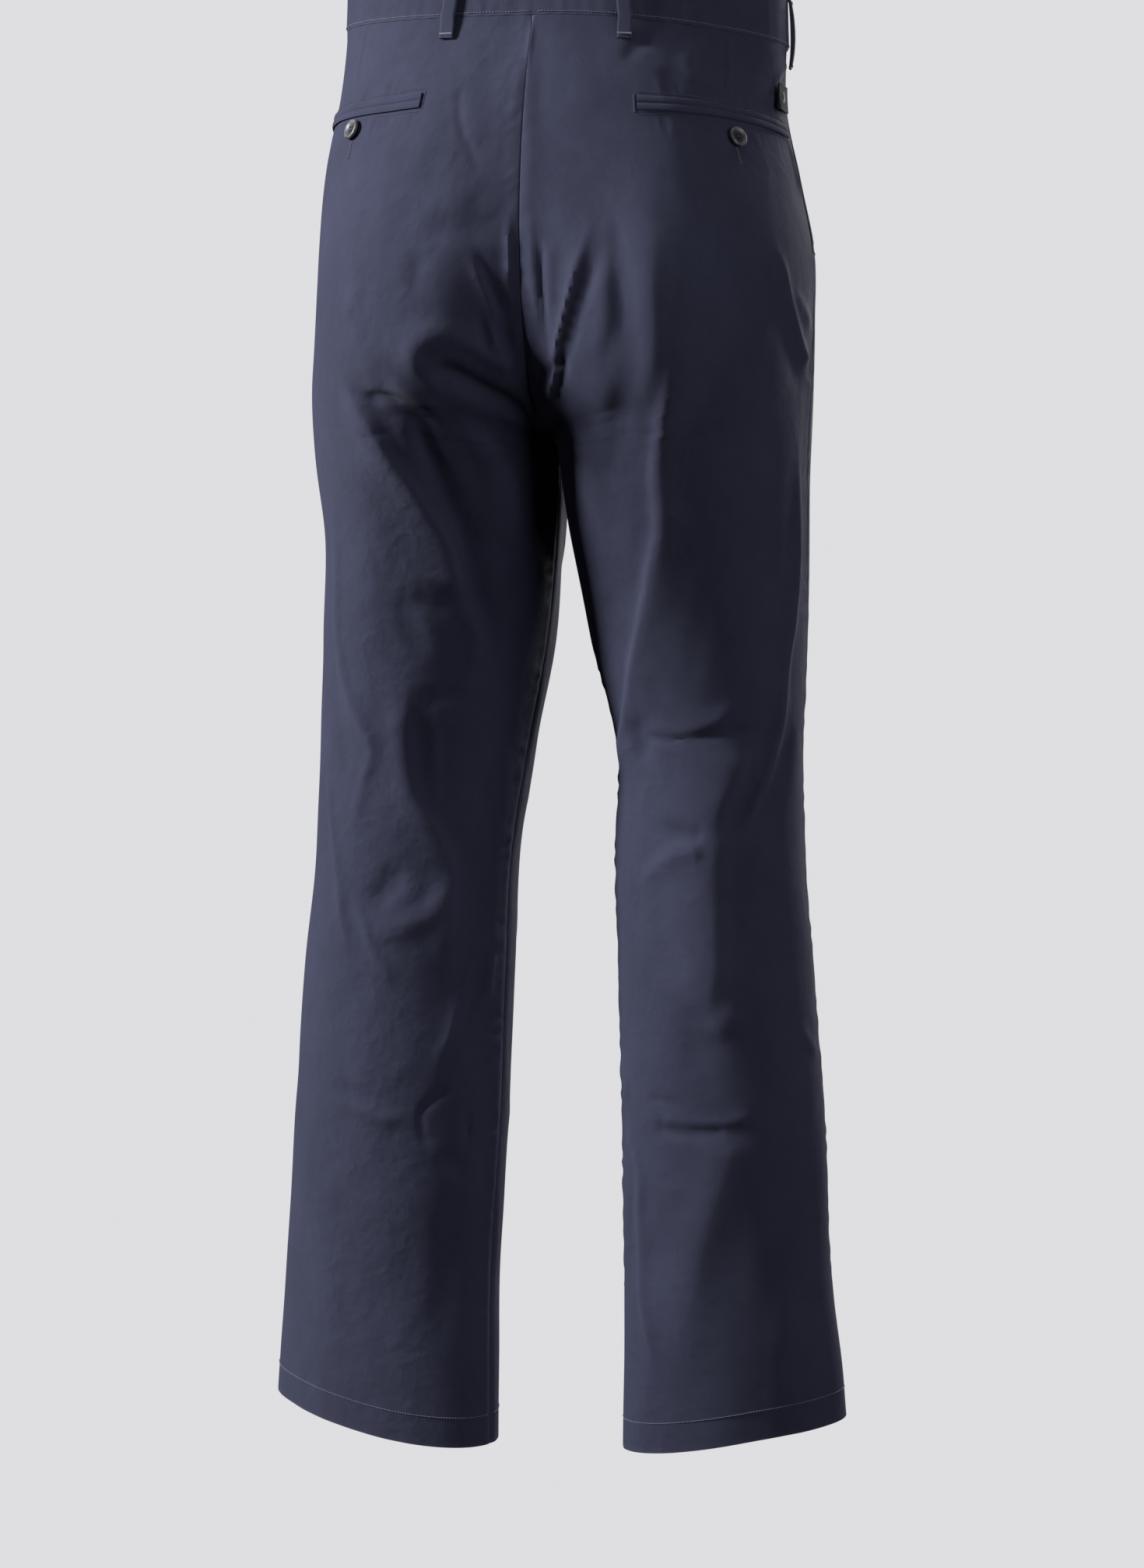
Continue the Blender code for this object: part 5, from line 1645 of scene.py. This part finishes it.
@dataclass
class FlyFront:
    """The fly's lapped edge with its J-shaped row of stitches."""

    shop: Workshop
    gap: float = 0.0018

    def build(self) -> None:
        """Makes the fly front."""
        left = self.shop.forms[Side.LEFT]
        right = self.shop.forms[Side.RIGHT]
        inward = np.linspace(0.0, 1.0, 30)
        over = np.linspace(-1.0 + CUT.fly_overlap, -1.0, 7)[:-1]
        across = np.concatenate([over, -1.0 + inward * CUT.fly_width])
        lap = len(over)
        shares = np.linspace(0.0, 1.0, 70)
        outer = np.zeros((len(shares), len(across), 3))
        inner = np.zeros_like(outer)
        levels = np.zeros(outer.shape[:2])
        for column, at in enumerate(across):
            form = right if column < lap else left
            depth = (at + 1.0) / CUT.fly_width if column >= lap else 0.0
            length = CUT.fly_length - CUT.fly_corner * (1.0 - math.sqrt(max(1.0 - depth**2, 0.0)))
            drops = CUT.seam_gap + CUT.laid_under + shares * length
            point, normal = form.base(np.full(drops.shape, at), drops)
            outer[:, column] = point + normal * (self.gap + CUT.cloth)
            inner[:, column] = point + normal * self.gap
            levels[:, column] = drops
        place = np.repeat(across[None, :] * CUT.half_girth, len(shares), axis=0)
        rubbed_and_ridge_highlight = np.repeat(np.exp(-np.arange(len(across)) / 1.2)[None, :] * 0.6, len(shares), axis=0)
        wall = Wall(outer, inner, place, levels, rubbed_and_ridge_highlight=rubbed_and_ridge_highlight)
        self.shop.cloth(wall, "fly_front", Held.HUNG, "waistband_cloth")
        sewn = Stitching()
        turn = np.linspace(0.0, math.pi / 2.0, 6)
        curve = [(-1.0 + 0.139 * math.cos(t), 0.112 + 0.048 * math.sin(t)) for t in turn]
        path = ((-0.861, 0.004), (-0.861, 0.04), (-0.861, 0.08), *curve)
        sewn.row(left, path, self.gap + CUT.cloth)
        self.shop.sew(sewn, "fly_stitches", self.shop.wardrobe.dark_thread, "fly_front_cloth")


@dataclass
class SideLabel:
    """A small satin flag label by the right pocket, with a plain woven chevron."""

    shop: Workshop
    start: tuple[float, float] = (0.020, 0.031)
    width: float = 0.027
    length: float = 0.020
    curl: float = 0.0025
    gap: float = 0.0009
    mark_threads: int = 9
    mark_row: int = 6
    mark_columns: tuple[int, int, int] = (9, 12, 14)
    mark_lift: float = 0.0002

    def build(self) -> None:
        """Makes the label and its woven mark."""
        form = self.shop.forms[Side.RIGHT]
        girth = float(form.girth(np.array(self.start[1])))
        shares = np.linspace(0.0, 1.0, 28)
        grid, levels = np.meshgrid(
            self.start[0] + self.width / girth * shares,
            np.linspace(self.start[1], self.start[1] + self.length, 22),
        )
        near = self.gap + self.curl * np.broadcast_to(shares, grid.shape) ** 2
        normal = form.base(grid, levels)[1]
        inner = form.skin(grid, levels) + normal * near[..., None]
        outer = inner + normal * CUT.cloth
        wall = Wall(outer, inner, grid * girth, levels)
        piece = wall.make("side_label_satin", self.shop.wardrobe.satin)
        self.shop.fitter.fit(piece, "woven_label", "side_label")
        self.shop.fitter.sheet(piece, wall, Held.HUNG, ["back_panel_right_cloth"])
        sewn = Stitching(radius=0.00032)
        first, middle, last = self.mark_columns
        for step in range(self.mark_threads):
            row = self.mark_row + step
            lean = abs(step - self.mark_threads // 2)
            starts = outer[row, first + lean] + normal[row, first] * self.mark_lift
            ends = outer[row, last + lean] + normal[row, last] * self.mark_lift
            sewn.threads(starts[None], ends[None], normal[row, middle][None])
        piece = sewn.make("side_label_mark", self.shop.wardrobe.silver_thread)
        self.shop.fitter.fit(piece, "woven_label")
        self.shop.fitter.carried["side_label_satin"] = [piece]


# ---------------------------------------------------------------------------------------------
# Studio
# ---------------------------------------------------------------------------------------------


@dataclass(frozen=True)
class Lamp:
    """A square soft light that shines at the garment's middle."""

    name: str
    place: tuple[float, float, float]
    size: float
    power: float
    aim: tuple[float, float, float] = (0.0, 0.0, -0.5)
    colour: tuple[float, float, float] = (1.0, 1.0, 1.0)

    def hang(self) -> None:
        """Adds the light."""
        data = bpy.data.lights.new(self.name, "AREA")
        data.shape = "SQUARE"
        data.size = self.size
        data.energy = self.power
        data.color = self.colour
        lamp = bpy.data.objects.new(self.name, data)
        lamp.location = self.place
        aim = Vector(self.aim) - Vector(self.place)
        lamp.rotation_euler = aim.to_track_quat("-Z", "Y").to_euler()
        bpy.context.scene.collection.objects.link(lamp)


@dataclass(frozen=True)
class Studio:
    """A pale room, soft lights and the camera."""

    pale: tuple[float, float, float] = (0.735, 0.735, 0.750)
    floor_z: float = -1.32
    lamps: tuple[Lamp, ...] = (
        Lamp("key", (2.98, 1.28, 1.15), 0.8, 208.0, (0.0, 0.0, -0.25)),
        Lamp("fill", (-3.0, 1.6, 0.1), 2.2, 33.0),
        Lamp("back", (0.6, 3.6, 0.4), 2.2, 5.0),
        Lamp("top", (0.0, 0.0, 2.2), 1.6, 10.0),
        Lamp("front", (-0.6, -3.4, 0.8), 2.4, 150.0),
    )
    turn: float = 192.7
    pitch: float = 5.0
    distance: float = 2.6
    height: float = -0.3324
    aside: float = 0.003
    lens: float = 108.24

    def build(self) -> None:
        """Sets up the room."""
        scene = bpy.context.scene
        world = bpy.data.worlds.new("pale_room")
        world.use_nodes = True
        backdrop = world.node_tree.nodes["Background"]
        backdrop.inputs["Color"].default_value = (*self.pale, 1.0)
        scene.world = world
        world.cycles_visibility.diffuse = False
        world.cycles_visibility.glossy = False
        scene.view_settings.view_transform = "Standard"
        self._floor()
        for lamp in self.lamps:
            lamp.hang()
        self._camera()

    def _floor(self) -> None:
        """Lays the plain pale floor."""
        mesh = bpy.data.meshes.new("floor")
        half = 30.0
        corners = [(x * half, y * half, self.floor_z) for x, y in ((-1, -1), (1, -1), (1, 1), (-1, 1))]
        mesh.from_pydata(corners, [], [(0, 1, 2, 3)])
        material = bpy.data.materials.new("pale_floor")
        material.use_nodes = True
        shader = material.node_tree.nodes["Principled BSDF"]
        shader.inputs["Base Color"].default_value = (0.0, 0.0, 0.0, 1.0)
        shader.inputs["Specular IOR Level"].default_value = 0.0
        shader.inputs["Emission Color"].default_value = (*self.pale, 1.0)
        shader.inputs["Emission Strength"].default_value = 1.0
        mesh.materials.append(material)
        floor = bpy.data.objects.new("floor", mesh)
        floor.visible_diffuse = False
        floor.visible_glossy = False
        bpy.context.scene.collection.objects.link(floor)

    def _camera(self) -> None:
        """Places the camera behind the garment, a little to the wearer's left."""
        data = bpy.data.cameras.new("camera")
        data.sensor_fit = "HORIZONTAL"
        data.sensor_width = 36.0
        data.lens = self.lens
        camera = bpy.data.objects.new("camera", data)
        turn = math.radians(self.turn)
        right = Vector((math.cos(turn), math.sin(turn), 0.0))
        behind = Vector((math.sin(turn) * self.distance, -math.cos(turn) * self.distance, self.height))
        camera.location = behind + right * self.aside
        camera.rotation_euler = Euler((math.radians(90.0 - self.pitch), 0.0, turn))
        bpy.context.scene.collection.objects.link(camera)
        bpy.context.scene.camera = camera


LOOPS = (
    (Side.LEFT, "back", 0.715), (Side.LEFT, "side", -0.05), (Side.LEFT, "front", -0.62),
    (Side.RIGHT, "back", 0.700), (Side.RIGHT, "side", -0.05), (Side.RIGHT, "front", -0.62),
)


def main() -> None:
    """Builds the garment piece by piece, then the studio."""
    logging.basicConfig(level=logging.INFO, format="%(message)s")
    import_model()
    forms = {side: HalfForm(side) for side in Side}
    shop = Workshop(forms, Wardrobe(), Fitter())
    for side in Side:
        LegAndSeat(shop, side).build()
    Waistband(shop).build()
    for side, place, across in LOOPS:
        BeltLoop(shop, side, place, across).build()
    BackPocket(shop, Side.LEFT, (0.680, 0.050), 0.058, (0.130, 0.065)).build()
    BackPocket(shop, Side.RIGHT, (0.670, 0.052), 0.055, (0.060, 0.062)).build()
    Button(shop, "back_button_left", Side.LEFT, (0.430, 0.076)).build()
    Button(shop, "back_button_right", Side.RIGHT, (0.365, 0.078)).build()
    front = CUT.band_proud + CUT.band_wall + CUT.laid_under + Button.lift
    Button(shop, "waist_button", Side.RIGHT, (-0.930, -0.019), 0.0085, front, hole_below=0.0).build()
    FlyFront(shop).build()
    SideLabel(shop).build()
    shop.fitter.declare()
    Studio().build()


if __name__ == "__main__":
    main()
